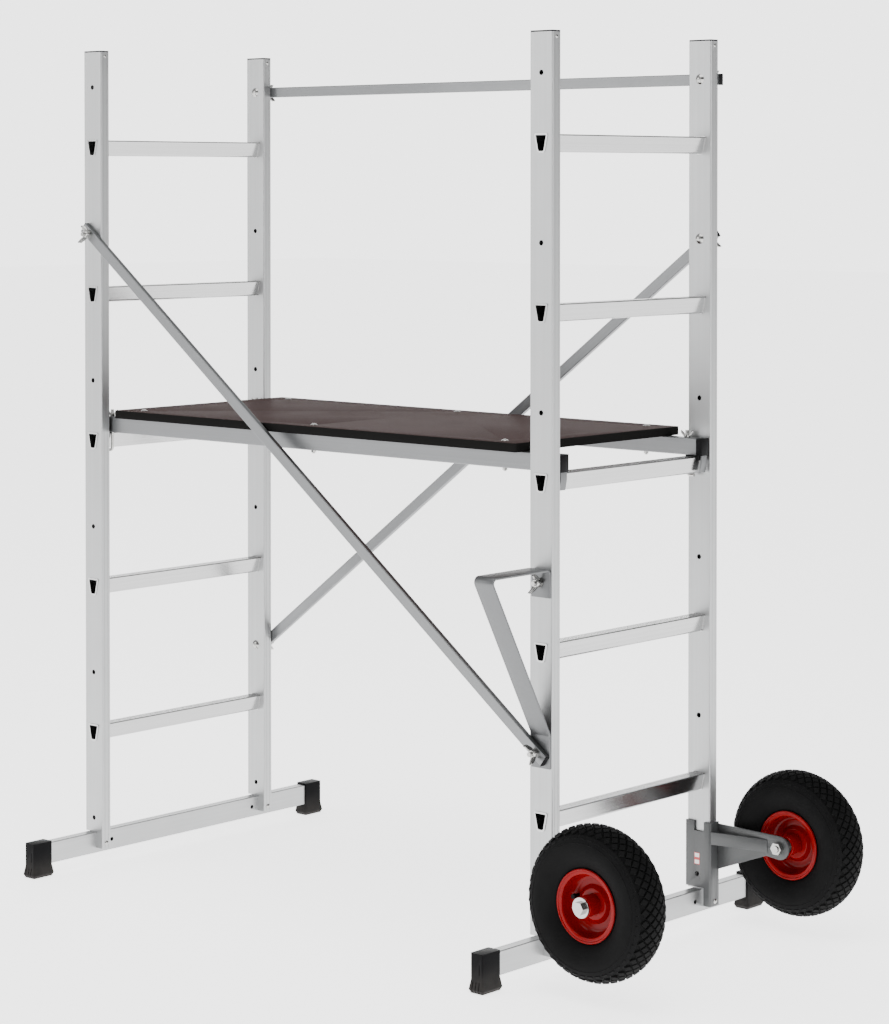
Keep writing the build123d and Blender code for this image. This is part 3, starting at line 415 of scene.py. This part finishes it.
# ---- platform panel ------------------------------------------------------------------------
# Birch plywood under a brown phenolic film. The upper film is pressed with a wire mesh for
# grip, the lower one is smooth, and the sawn edges are sealed with black paint.
MESH_X = 0.0068         # the pressed diamonds, along and across the panel
MESH_Y = 0.0040
FILM = (0.078, 0.055, 0.053)
film = Finish("mesh_printed_film", ior=1.01)
place = film.place()
x, y, z = film.axes(place)
facing_up = film.axes(film.node("NewGeometry", output="Normal"))[2]
first = abs((x * (pi / MESH_X) + y * (pi / MESH_Y)).sine())
second = abs((x * (pi / MESH_X) - y * (pi / MESH_Y)).sine())
diamonds = film.stepped(first.least(second), 0.10, 0.34)
top = facing_up > 0.7
edge = abs(facing_up) < 0.5
clouds = film.noise(place, (9, 9, 9), 4.0, 0.6)
speckle = film.noise(place, (700, 700, 700), 2.0)
footmarks = film.stepped(film.noise(place, (5, 6, 5), 5.0, 0.62), 0.52, 0.72)
plies = abs((z * (pi / 0.0015)).sine())
brown = film.blend(clouds, shade(FILM, 0.9), shade(FILM, 1.12))
# The grooves of the pressed mesh on the upper film are darkened in colour as painted shade.
film_with_groove_shade = film.blend((1 - diamonds) * top * 0.5, brown, shade(FILM, 0.55))
trodden = film.blend(footmarks * top * 0.22, film_with_groove_shade, (0.11, 0.085, 0.08))
sealed = film.blend(plies * 0.4, (0.008, 0.008, 0.008), (0.014, 0.013, 0.012))
film.set(base_color=film.blend(edge, trodden, sealed))
film.set(roughness=0.34 + speckle * 0.1 + footmarks * 0.1 + edge * 0.18)
pressed = film.bump(diamonds * top, 0.0003)
film.set(normal=film.bump(speckle + plies * edge * 2, 0.00004, pressed))
eased("platform_panel", 0.0009, film)

# ---- bent and cut steel --------------------------------------------------------------------
# The strap bracket and the claws are zinc plated flat bar. The wheel brackets are folded and
# welded from 4 mm sheet, and powder coated grey.
zinc = Finish("dull_zinc_strap", metallic=1.0)
place = zinc.place()
spangle = zinc.noise(place, (260, 260, 260), 3.0, 0.6)
rolled = zinc.noise(place, (900, 900, 25), 3.0, 0.6)
patches = zinc.noise(place, (22, 22, 22), 4.0, 0.6)
ZINC_TONE = (0.15, 0.153, 0.156)
mottle = patches * 0.6 + spangle * 0.3
zinc.set(base_color=zinc.blend(mottle, shade(ZINC_TONE, 0.8), shade(ZINC_TONE, 1.15)))
zinc.set(roughness=0.34 + rolled * 0.12 + patches * 0.1)
zinc.set(normal=zinc.bump(rolled + spangle * 0.5, 0.00003))
eased("strap_bracket", 0.0007, zinc)
eased("rail_claws", 0.0005, zinc)

coat = Finish("grey_powder_coat", coat_roughness=0.25)
place = coat.place()
peel = coat.noise(place, (520, 520, 520), 2.0)
patches = coat.noise(place, (18, 18, 18), 3.0, 0.6)
specks = coat.stepped(coat.noise(place, (900, 900, 900), 1.0), 0.70, 0.76)
COAT_TONE = (0.045, 0.047, 0.048)
plain = coat.blend(patches, shade(COAT_TONE, 0.9), shade(COAT_TONE, 1.1))
coat.set(base_color=coat.blend(specks * 0.3, plain, shade(COAT_TONE, 1.6)))
coat.set(roughness=0.36 + peel * 0.12 + patches * 0.08)
coat.set(coat_weight=0.25)
coat.set(normal=coat.bump(peel, 0.00012))
for side in ("front", "rear"):
    eased(f"{side}_bracket_angle", 0.0007, coat)
    eased(f"{side}_bracket_arm", 0.0007, coat)

# ---- bracket label -------------------------------------------------------------------------
# A printed film label stuck to the rear bracket's inner face: white, with a plain red frame
# and no lettering.
web_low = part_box("rear_bracket_angle")[0]
LABEL = (0.012, 0.00016, 0.021)
MARGIN = 0.0012         # the bare edge round the red frame
CROSSBAR = 0.0024       # half the height of the bare band across its middle
LABEL_UP = 0.082        # bracket's lower edge to the label's middle
bpy.ops.object.select_all(action="DESELECT")
stile_low, stile_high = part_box("right_rear_stile")
label_x = (stile_low.x + stile_high.x) / 2
label_at = Vector((label_x, web_low.y - LABEL[1] / 2, web_low.z + LABEL_UP))
bpy.ops.mesh.primitive_cube_add(size=1)
label = bpy.context.object
label.name = "bracket_label"
label.data.transform(Matrix.Translation(label_at) @ Matrix.Diagonal((*LABEL, 1)))
corners = label.modifiers.new("cut_corners", "BEVEL")
corners.width = 0.00006
bpy.ops.object.modifier_apply(modifier="cut_corners")
ink = Finish("red_and_white_label", roughness=0.3)
place = ink.place()
x, _, z = ink.axes(place)
inside_x = abs(x - label_at.x) < LABEL[0] / 2 - MARGIN
inside_z = abs(z - label_at.z) < LABEL[2] / 2 - MARGIN
band = abs(z - label_at.z) < CROSSBAR
print_grain = ink.noise(place, (1500, 1500, 1500), 1.0)
red = ink.blend(print_grain, (0.42, 0.03, 0.03), (0.5, 0.05, 0.05))
field = ink.blend(inside_x * inside_z * (1 - band), red, (0.78, 0.77, 0.75))
ink.set(base_color=field, normal=ink.bump(print_grain, 0.00001))
label.data.materials.append(ink.material)
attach(label, "frame")

# ---- bolts, washers and screws -------------------------------------------------------------
# Bright zinc plated steel with rolled threads. The thread shows on the clamp bolts outside
# the frames, on the hooks above the rails and on the axle bolts' inner ends.
PLATE_TONE = (0.40, 0.40, 0.395)
CLAMP_PITCH = 0.00125   # thread pitches, and how far out a thread is sought
AXLE_PITCH = 0.00175
HOOK_PITCH = 0.001
PAST_STILE = 0.2
PAST_RAIL = 0.05


def plated(name, axis=None, first=0.0, last=0.0, pitch=CLAMP_PITCH):
    """Bright plating, with a thread between two distances along Y or Z, on both sides of 0, its
    roots darkened as painted shade.
    """
    finish = Finish(name, metallic=1.0)
    place = finish.place()
    haze = finish.noise(place, (120, 120, 120), 3.0, 0.6)
    fine = finish.noise(place, (1800, 1800, 1800), 2.0)
    tone = finish.blend(haze, shade(PLATE_TONE, 0.85), (0.50, 0.495, 0.475))
    surface = finish.bump(fine, 0.00001)
    finish.set(roughness=0.12 + haze * 0.12 + fine * 0.05)
    if axis is None:
        finish.set(base_color=tone, normal=surface)
        return finish
    along = abs(finish.axes(place)["xyz".index(axis)])
    threaded = (along > first) * (along < last)
    groove = abs((along * (pi / pitch)).sine()) * threaded
    # The thread's roots are darkened in colour as painted shade.
    finish.set(base_color=finish.blend((1 - groove) * threaded * 0.6, tone, shade(PLATE_TONE, 0.4)))
    finish.set(normal=finish.bump(groove, 0.0004, surface))
    return finish


stile_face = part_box("left_rear_stile")[1].y
bolt_steel = plated("threaded_clamp_bolt", "y", stile_face, stile_face + PAST_STILE)
bolt_steel.cover("clamp_bolts")
small_steel = plated("bright_plated_steel")
small_steel.cover("clamp_washers", "frame_screws", "platform_fasteners", "axle_fasteners",
                  "axle_spacers", "front_bearings", "rear_bearings")
axle_steel = plated("threaded_axle_bolt", "y", 0.0, stile_face - 0.004, AXLE_PITCH)
axle_steel.cover("axle_bolts")
rail_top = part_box("front_platform_rail")[1].z
hook_steel = plated("threaded_hook", "z", rail_top, rail_top + PAST_RAIL, HOOK_PITCH)
corners_of_platform = [f"{end}_{side}" for end in ("left", "right") for side in ("front", "rear")]
hook_steel.cover(*[f"{corner}_hook" for corner in corners_of_platform])


# ---- wing nuts -----------------------------------------------------------------------------
# Pressed steel wing nuts, bright plated: a tapered hub with two ears that sweep up and out.
# One is modelled about its own axis, seat down, and copied to every clamp and hook.
joints = {joint["child"]: joint for joint in frame["joints"]}


def start_edit():
    """Open the active piece for editing, all of it selected."""
    bpy.context.tool_settings.mesh_select_mode = (True, False, False)
    bpy.ops.object.mode_set(mode="EDIT")
    bpy.ops.mesh.select_all(action="SELECT")


def only(piece):
    """Select one piece and make it the active one."""
    bpy.ops.object.select_all(action="DESELECT")
    piece.select_set(True)
    bpy.context.view_layer.objects.active = piece


def turned(name, outline, sides):
    """A piece spun on a lathe: a ring drawn on from one (radius, height) to the next."""
    bpy.ops.object.select_all(action="DESELECT")
    (radius, height), *rest = outline
    bpy.ops.mesh.primitive_circle_add(vertices=sides, radius=radius, location=(0, 0, 0))
    piece = bpy.context.object
    piece.name = name
    piece.data.transform(Matrix.Translation((0, 0, height)))
    start_edit()
    for next_radius, next_height in [*rest, outline[0]]:
        move = {"value": (0, 0, next_height - height)}
        bpy.ops.mesh.extrude_region_move(TRANSFORM_OT_translate=move)
        grow = next_radius / radius
        bpy.ops.transform.resize(value=(grow, grow, 1), center_override=(0, 0, next_height))
        radius, height = next_radius, next_height
    bpy.ops.mesh.select_all(action="SELECT")
    bpy.ops.mesh.remove_doubles(threshold=0.000001)
    bpy.ops.mesh.normals_make_consistent(inside=False)
    bpy.ops.object.mode_set(mode="OBJECT")
    bpy.ops.object.shade_smooth_by_angle(angle=radians(40))
    return piece


def select_facing(piece, test):
    """Select the faces whose middle and normal pass a test, in edit mode."""
    bpy.ops.object.mode_set(mode="OBJECT")
    for polygon in piece.data.polygons:
        polygon.select = test(polygon.center, polygon.normal)
    bpy.ops.object.mode_set(mode="EDIT")


def wing_nut(name, bore, hub, rise, span, top, thick):
    """One wing nut: bore and hub radius, hub height, ear reach, ear height and thickness."""
    outline = [(bore, 0), (hub, 0), (hub, rise * 0.15), (hub * 0.93, rise * 0.5),
               (hub * 0.84, rise * 0.93), (hub * 0.76, rise), (bore, rise)]
    nut = turned(name, outline, 32)
    ears = []
    for way in (1, -1):
        bpy.ops.object.select_all(action="DESELECT")
        bpy.ops.mesh.primitive_cube_add(size=1)
        ear = bpy.context.object
        root = Matrix.Translation((hub * 0.72, 0, rise * 0.42))
        ear.data.transform(root @ Matrix.Diagonal((hub * 0.3, thick * 1.25, rise * 0.62, 1)))
        bpy.ops.object.mode_set(mode="EDIT")
        for reach, lift, taper in ((0.35, 0.12, 1.15), (0.35, 0.24, 1.1), (0.30, 0.22, 0.72)):
            bpy.context.tool_settings.mesh_select_mode = (False, False, True)
            select_facing(ear, lambda middle, normal: normal.x > 0.6)
            out = {"value": ((span - hub * 0.87) * reach, 0, (top - rise * 0.73) * lift * 2.3)}
            bpy.ops.mesh.extrude_region_move(TRANSFORM_OT_translate=out)
            bpy.ops.transform.resize(value=(1, 0.92, taper))
        bpy.ops.object.mode_set(mode="OBJECT")
        if way < 0:
            ear.data.transform(Matrix.Rotation(pi, 4, "Z"))
        smooth = ear.modifiers.new("forged_ear", "SUBSURF")
        smooth.levels = 2
        smooth.render_levels = 2
        bpy.ops.object.modifier_apply(modifier="forged_ear")
        bpy.ops.object.shade_smooth()
        ears.append(ear)
    only(nut)
    for ear in ears:
        ear.select_set(True)
    bpy.ops.object.join()
    nut.data.materials.append(small_steel.material)
    return nut


def seat(pattern, node, name):
    """Copy a nut onto its seat, its ears turned as the CAD nut's are."""
    joint = joints[node]
    centre, axis = Vector(joint["pos_m"]), Vector(joint["axis"]).normalized()
    if axis.dot(sum((Vector(c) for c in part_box(node)), Vector()) / 2 - centre) < 0:
        axis = -axis
    reach = max((v.co - centre - axis * axis.dot(v.co - centre) for v in nodes[node].data.vertices),
                key=lambda across: across.length)
    ear = reach.normalized()
    side = axis.cross(ear)
    turn = Matrix((ear, side, axis)).transposed().to_4x4()
    nut = bpy.data.objects.new(name, pattern.data.copy())
    bpy.context.scene.collection.objects.link(nut)
    nut.data.transform(Matrix.Translation(centre) @ turn)
    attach(nut, node)
    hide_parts(node)


clamp_pattern = wing_nut("clamp_nut_pattern", 0.00405, 0.0075, 0.010, 0.0172, 0.0175, 0.0028)
hook_pattern = wing_nut("hook_nut_pattern", 0.00305, 0.0046, 0.0062, 0.0112, 0.0108, 0.0018)
for node in [name for name in nodes if name.endswith("_wing_nut")]:
    seat(clamp_pattern, node, f"{node}_pressed")
for corner in corners_of_platform:
    seat(hook_pattern, f"{corner}_hook_nut", f"{corner}_hook_nut_pressed")
bpy.data.objects.remove(clamp_pattern)
bpy.data.objects.remove(hook_pattern)


# ---- wheel rims and hubs -------------------------------------------------------------------
# Two steel dishes pressed with a rolled lip, a round bowl and a raised middle, welded back to
# back on a tube hub and stove enamelled deep red. The outer dish is punched for the valve.
def arc(centre, radius, start, end, steps):
    """Points along an arc, as (radius from the axle, distance from the middle plane)."""
    turns = [radians(start + (end - start) * k / steps) for k in range(steps + 1)]
    return [(centre[0] + radius[0] * cos(a), centre[1] + radius[1] * sin(a)) for a in turns]


WAY = {"front": -1, "rear": 1}     # which way along Y a wheel's shown face looks


def wheel_place(side):
    """Lay a piece built about Z on the axle, its +Z end away from the frames."""
    low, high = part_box(f"{side}_hub")
    return Matrix.Translation((low + high) / 2) @ Matrix.Rotation(radians(-90 * WAY[side]), 4, "X")


def mount_on_wheel(pattern, side, kind, *cad_nodes):
    """Copy a piece built about Z onto one wheel, in place of CAD nodes."""
    piece = bpy.data.objects.new(f"{side}_{kind}", pattern.data.copy())
    bpy.context.scene.collection.objects.link(piece)
    piece.data.transform(wheel_place(side))
    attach(piece, f"{side}_wheel")
    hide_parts(*[f"{side}_{node}" for node in cad_nodes])


hub_low, hub_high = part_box("front_hub")
HUB_R = (hub_high.z - hub_low.z) / 2
HUB_HALF = (hub_high.y - hub_low.y) / 2
rim_low, rim_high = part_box("front_rim")
RIM_R = (rim_high.z - rim_low.z) / 2
RIM_HALF = (rim_high.y - rim_low.y) / 2
WEB_R = 0.040           # where the flat web turns up into the bowl
BOWL = (0.0103, 0.0155)  # the bowl's reach outwards and up, on the shown face
SHEET = 0.0025          # the dish's thickness
ROLL = 0.0021           # radius of the rolled lip

dish = [(HUB_R, 0.0095), (0.0238, 0.0095)]
dish += arc((0.0238, 0.0068), (0.0027, 0.0027), 80, 35, 3)
dish += arc((0.0325, 0.0056), (0.0030, 0.0030), 215, 265, 3)
dish += [(0.0350, SHEET)]
dish += arc((WEB_R, SHEET + BOWL[1]), BOWL, -90, 0, 14)
dish += [(WEB_R + BOWL[0], RIM_HALF - 0.0048)]
dish += arc((WEB_R + BOWL[0] + 0.0025, RIM_HALF - 0.0045), (0.0025, 0.0025), 170, 95, 4)
dish += arc((RIM_R - ROLL, RIM_HALF - ROLL), (ROLL, ROLL), 165, -60, 12)
dish += [(RIM_R - 0.0035, RIM_HALF - 0.0045), (WEB_R + BOWL[0] + SHEET, RIM_HALF - 0.0046)]
dish += arc((WEB_R, BOWL[1] + SHEET), (BOWL[0] + SHEET, BOWL[1] + SHEET - 0.0001), 0, -90, 10)
dish += [(0.0330, 0.0001), (0.0300, 0.0006), (0.0250, 0.0062), (HUB_R, 0.0070)]
half = turned("rim_half", dish, 128)

enamel = Finish("deep_red_enamel", coat_roughness=0.08, ior=1.18)
place = enamel.place()
pool = enamel.noise(place, (35, 35, 35), 3.0, 0.6)
orange_peel = enamel.noise(place, (330, 330, 330), 2.0)
grime = enamel.stepped(enamel.noise(place, (60, 60, 60), 5.0, 0.65), 0.60, 0.75)
RED = (0.20, 0.0004, 0.0009)
rich = enamel.blend(pool, shade(RED, 0.75), shade(RED, 1.2))
enamel.set(base_color=enamel.blend(grime * 0.18, rich, (0.09, 0.03, 0.025)))
enamel.set(roughness=0.20 + pool * 0.08 + grime * 0.15)
enamel.set(coat_weight=0.10)
enamel.set(normal=enamel.bump(orange_peel, 0.00005))

SLOT_R = 0.041          # the punched oval: distance from the axle, turn, length and width
SLOT_TURN = 192
SLOT_SIZE = (0.013, 0.007)
SLOT_UP = 0.013         # the punch's middle, from the wheel's middle plane
for side in WAY:
    parts = []
    for turn in (0, pi):
        dish_part = bpy.data.objects.new(f"{side}_dish", half.data.copy())
        bpy.context.scene.collection.objects.link(dish_part)
        dish_part.data.transform(Matrix.Rotation(turn, 4, "X"))
        parts.append(dish_part)
    angle = radians(SLOT_TURN) * -WAY[side]
    bpy.ops.object.select_all(action="DESELECT")
    bpy.ops.mesh.primitive_cylinder_add(vertices=32, radius=0.5, depth=0.024)
    cutter = bpy.context.object
    across = Matrix.Diagonal((SLOT_SIZE[1], SLOT_SIZE[0], 1, 1))
    outwards = Matrix.Rotation(angle, 4, "Z") @ Matrix.Translation((SLOT_R, 0, SLOT_UP))
    cutter.data.transform(outwards @ across)
    only(parts[0])
    punch = parts[0].modifiers.new("punched_slot", "BOOLEAN")
    punch.operation = "DIFFERENCE"
    punch.object = cutter
    punch.solver = "EXACT"
    bpy.ops.object.modifier_apply(modifier="punched_slot")
    bpy.data.objects.remove(cutter)
    only(parts[0])
    parts[1].select_set(True)
    bpy.ops.object.join()
    bpy.ops.object.shade_smooth_by_angle(angle=radians(40))
    parts[0].data.materials.append(enamel.material)
    mount_on_wheel(parts[0], side, "rim_pressed", "rim")
    bpy.data.objects.remove(parts[0])
bpy.data.objects.remove(half)

bearing_low, bearing_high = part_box("front_bearings")
BORE_R = (bearing_high.z - bearing_low.z) / 2 + 0.0001
TUBE_R = HUB_R - 0.0001
CHAMFER = 0.0008
hub_end = [(BORE_R, HUB_HALF), (HUB_R - CHAMFER, HUB_HALF), (TUBE_R, HUB_HALF - CHAMFER)]
hub_pattern = turned("hub_pattern", [(r, -h) for r, h in hub_end] + hub_end[::-1], 96)
hub_pattern.data.materials.append(enamel.material)
for side in WAY:
    mount_on_wheel(hub_pattern, side, "hub_tube", "hub")
bpy.data.objects.remove(hub_pattern)
eased("front_valve", 0.0004, black_plastic)
eased("rear_valve", 0.0004, black_plastic)

# ---- tyres ---------------------------------------------------------------------------------
# Moulded black rubber. Diamond blocks stand on the crown between two sets of slanting
# grooves, with a row of small lugs on each shoulder, and a thin ring on the sidewall.
tyre_low, tyre_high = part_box("front_tyre")
TYRE_R = (tyre_high.z - tyre_low.z) / 2
TYRE_HALF = (tyre_high.y - tyre_low.y) / 2
GROOVE = 0.0032
SHOULDER_R = TYRE_R - TYRE_HALF * 0.25
SHOULDER = TYRE_HALF * 0.76
BEAD_R = 0.0531         # where the tyre grips the rim, and where it leaves it
BEAD_TOP_R = 0.0606
BEAD_HALF = 0.0247
RING_AT = 13            # which of the wall's steps carries the thin ring, and its height
RING_LIFT = 0.0006
WALL_STEPS = 18
CROWN_SWING = 36        # degrees from the crown's middle to its edge, and each step
CROWN_STEP = 6
CROWN_R = (SHOULDER ** 2 + (TYRE_R - SHOULDER_R) ** 2) / (2 * (TYRE_R - SHOULDER_R))


def through(first, middle, last, steps):
    """Points on the arc through three points."""
    (ax, ay), (bx, by), (cx, cy) = first, middle, last
    d = 2 * (ax * (by - cy) + bx * (cy - ay) + cx * (ay - by))
    a, b, c = ax * ax + ay * ay, bx * bx + by * by, cx * cx + cy * cy
    centre = Vector(((a * (by - cy) + b * (cy - ay) + c * (ay - by)) / d,
                     (a * (cx - bx) + b * (ax - cx) + c * (bx - ax)) / d))
    start = Vector(first) - centre
    swing = start.angle_signed(Vector(last) - centre)
    turns = [Matrix.Rotation(-swing * k / steps, 2) for k in range(steps + 1)]
    return [tuple(centre + turn @ start) for turn in turns]


belly = ((BEAD_TOP_R + SHOULDER_R) / 2, TYRE_HALF)
wall = through((BEAD_TOP_R, BEAD_HALF), belly, (SHOULDER_R, SHOULDER), WALL_STEPS)
ringed = []
for k, point in enumerate(wall[:-1]):
    if k == RING_AT:
        after = Vector(wall[k + 1]) - Vector(point)
        out = Vector((-after.y, after.x)).normalized()
        if out.y < 0:
            out = -out
        for share, lift in ((0, 0), (0.12, RING_LIFT), (0.32, RING_LIFT), (0.44, 0)):
            ringed.append(tuple(Vector(point) + after * share + out * lift))
    else:
        ringed.append(point)
crown = []
for k in range(2 * CROWN_SWING // CROWN_STEP + 1):
    swing = radians(CROWN_SWING - CROWN_STEP * k)
    out = TYRE_R - CROWN_R + (CROWN_R - GROOVE) * cos(swing)
    crown.append((out, (CROWN_R - GROOVE) * sin(swing)))
inner_wall = [(BEAD_R, -BEAD_HALF), (BEAD_R, -BEAD_HALF + 0.004), (0.066, -0.026),
              (0.088, -0.034), (0.109, -0.026), (0.121, 0), (0.109, 0.026), (0.088, 0.034),
              (0.066, 0.026), (BEAD_R, BEAD_HALF - 0.004), (BEAD_R, BEAD_HALF)]
far_wall = [(r, -y) for r, y in reversed(ringed)]
carcass = turned("tyre_carcass", ringed + crown + far_wall + inner_wall, 144)
bpy.ops.object.shade_smooth_by_angle(angle=radians(30))


def tread_block(name, reach, turn, height, taper):
    """A four-sided rubber block on z = 0, drawn in up to a chamfered top."""
    bpy.ops.object.select_all(action="DESELECT")
    bpy.ops.mesh.primitive_circle_add(vertices=4, radius=1, fill_type="NGON")
    block = bpy.context.object
    block.name = name
    start_edit()
    bpy.ops.transform.rotate(value=turn, orient_axis="Z", center_override=(0, 0, 0))
    bpy.ops.transform.resize(value=(*reach, 1), center_override=(0, 0, 0))
    for lift, draw in ((height * 0.82, taper), (height * 0.18, 0.93)):
        bpy.ops.mesh.extrude_region_move(TRANSFORM_OT_translate={"value": (0, 0, lift)})
        bpy.ops.transform.resize(value=(draw, draw, 1), center_override=(0, 0, 0))
    bpy.ops.mesh.select_all(action="SELECT")
    bpy.ops.mesh.normals_make_consistent(inside=False)
    bpy.ops.object.mode_set(mode="OBJECT")
    return block


PITCHES = 44
STEP = 2 * pi / PITCHES
ROW = 0.0090            # rows of diamonds, along the crown's arc
HALF_X = TYRE_R * STEP / 2 * 0.88
LUG = (0.0093, 0.0065)  # half the diagonals of a shoulder lug
LUG_ARC = 0.0385        # from the crown's middle to a lug, along its arc
BED = 0.0001            # how deep a diamond is let into the carcass, and a lug
LUG_BED = 0.0006
diamond = tread_block("diamond", (HALF_X, ROW * 0.88), 0, GROOVE, 0.86)
lug = tread_block("lug", LUG, radians(45), GROOVE * 0.8, 0.85)


def on_crown(pattern, row_arc, turn, sink):
    """Copy a block, its X round the axle and its Y across the crown, to its place there."""
    swing = row_arc / CROWN_R
    radius = TYRE_R - CROWN_R + (CROWN_R - GROOVE - sink) * cos(swing)
    height = (CROWN_R - GROOVE - sink) * sin(swing)
    squeeze = radius / TYRE_R
    stand = Matrix(((0, 0, 1), (1, 0, 0), (0, 1, 0))).to_4x4()
    lean = Matrix.Rotation(-swing, 4, "Y")
    block = bpy.data.objects.new("block", pattern.data.copy())
    bpy.context.scene.collection.objects.link(block)
    block.data.transform(Matrix.Rotation(turn, 4, "Z") @ Matrix.Translation((radius, 0, height))
                         @ lean @ stand @ Matrix.Diagonal((squeeze, 1, 1, 1)))
    return block


blocks = []
for row in range(-3, 4):
    blocks.append(on_crown(diamond, row * ROW, STEP / 2 * (row % 2), BED))
for way in (1, -1):
    blocks.append(on_crown(lug, way * LUG_ARC, STEP / 4 * (1 - way), LUG_BED))
only(blocks[0])
for block in blocks[1:]:
    block.select_set(True)
bpy.ops.object.join()
sector = blocks[0]
sectors = []
for k in range(PITCHES):
    copy = bpy.data.objects.new("sector", sector.data.copy())
    bpy.context.scene.collection.objects.link(copy)
    copy.data.transform(Matrix.Rotation(k * STEP, 4, "Z"))
    sectors.append(copy)
only(carcass)
for copy in sectors:
    copy.select_set(True)
bpy.ops.object.join()
for spare in (sector, diamond, lug):
    bpy.data.objects.remove(spare)

rubber = Finish("black_tyre_rubber", ior=1.10)
place = rubber.place()
skin = rubber.noise(place, (900, 900, 900), 3.0, 0.6)
cloud = rubber.noise(place, (30, 30, 30), 4.0, 0.6)
rubber.set(base_color=rubber.blend(cloud, (0.004, 0.004, 0.0042), (0.009, 0.009, 0.009)))
rubber.set(roughness=0.46 + cloud * 0.16 + skin * 0.08)
rubber.set(normal=rubber.bump(skin, 0.00008))
carcass.data.materials.append(rubber.material)
for side in WAY:
    mount_on_wheel(carcass, side, "tyre_moulded", "tyre")
bpy.data.objects.remove(carcass)
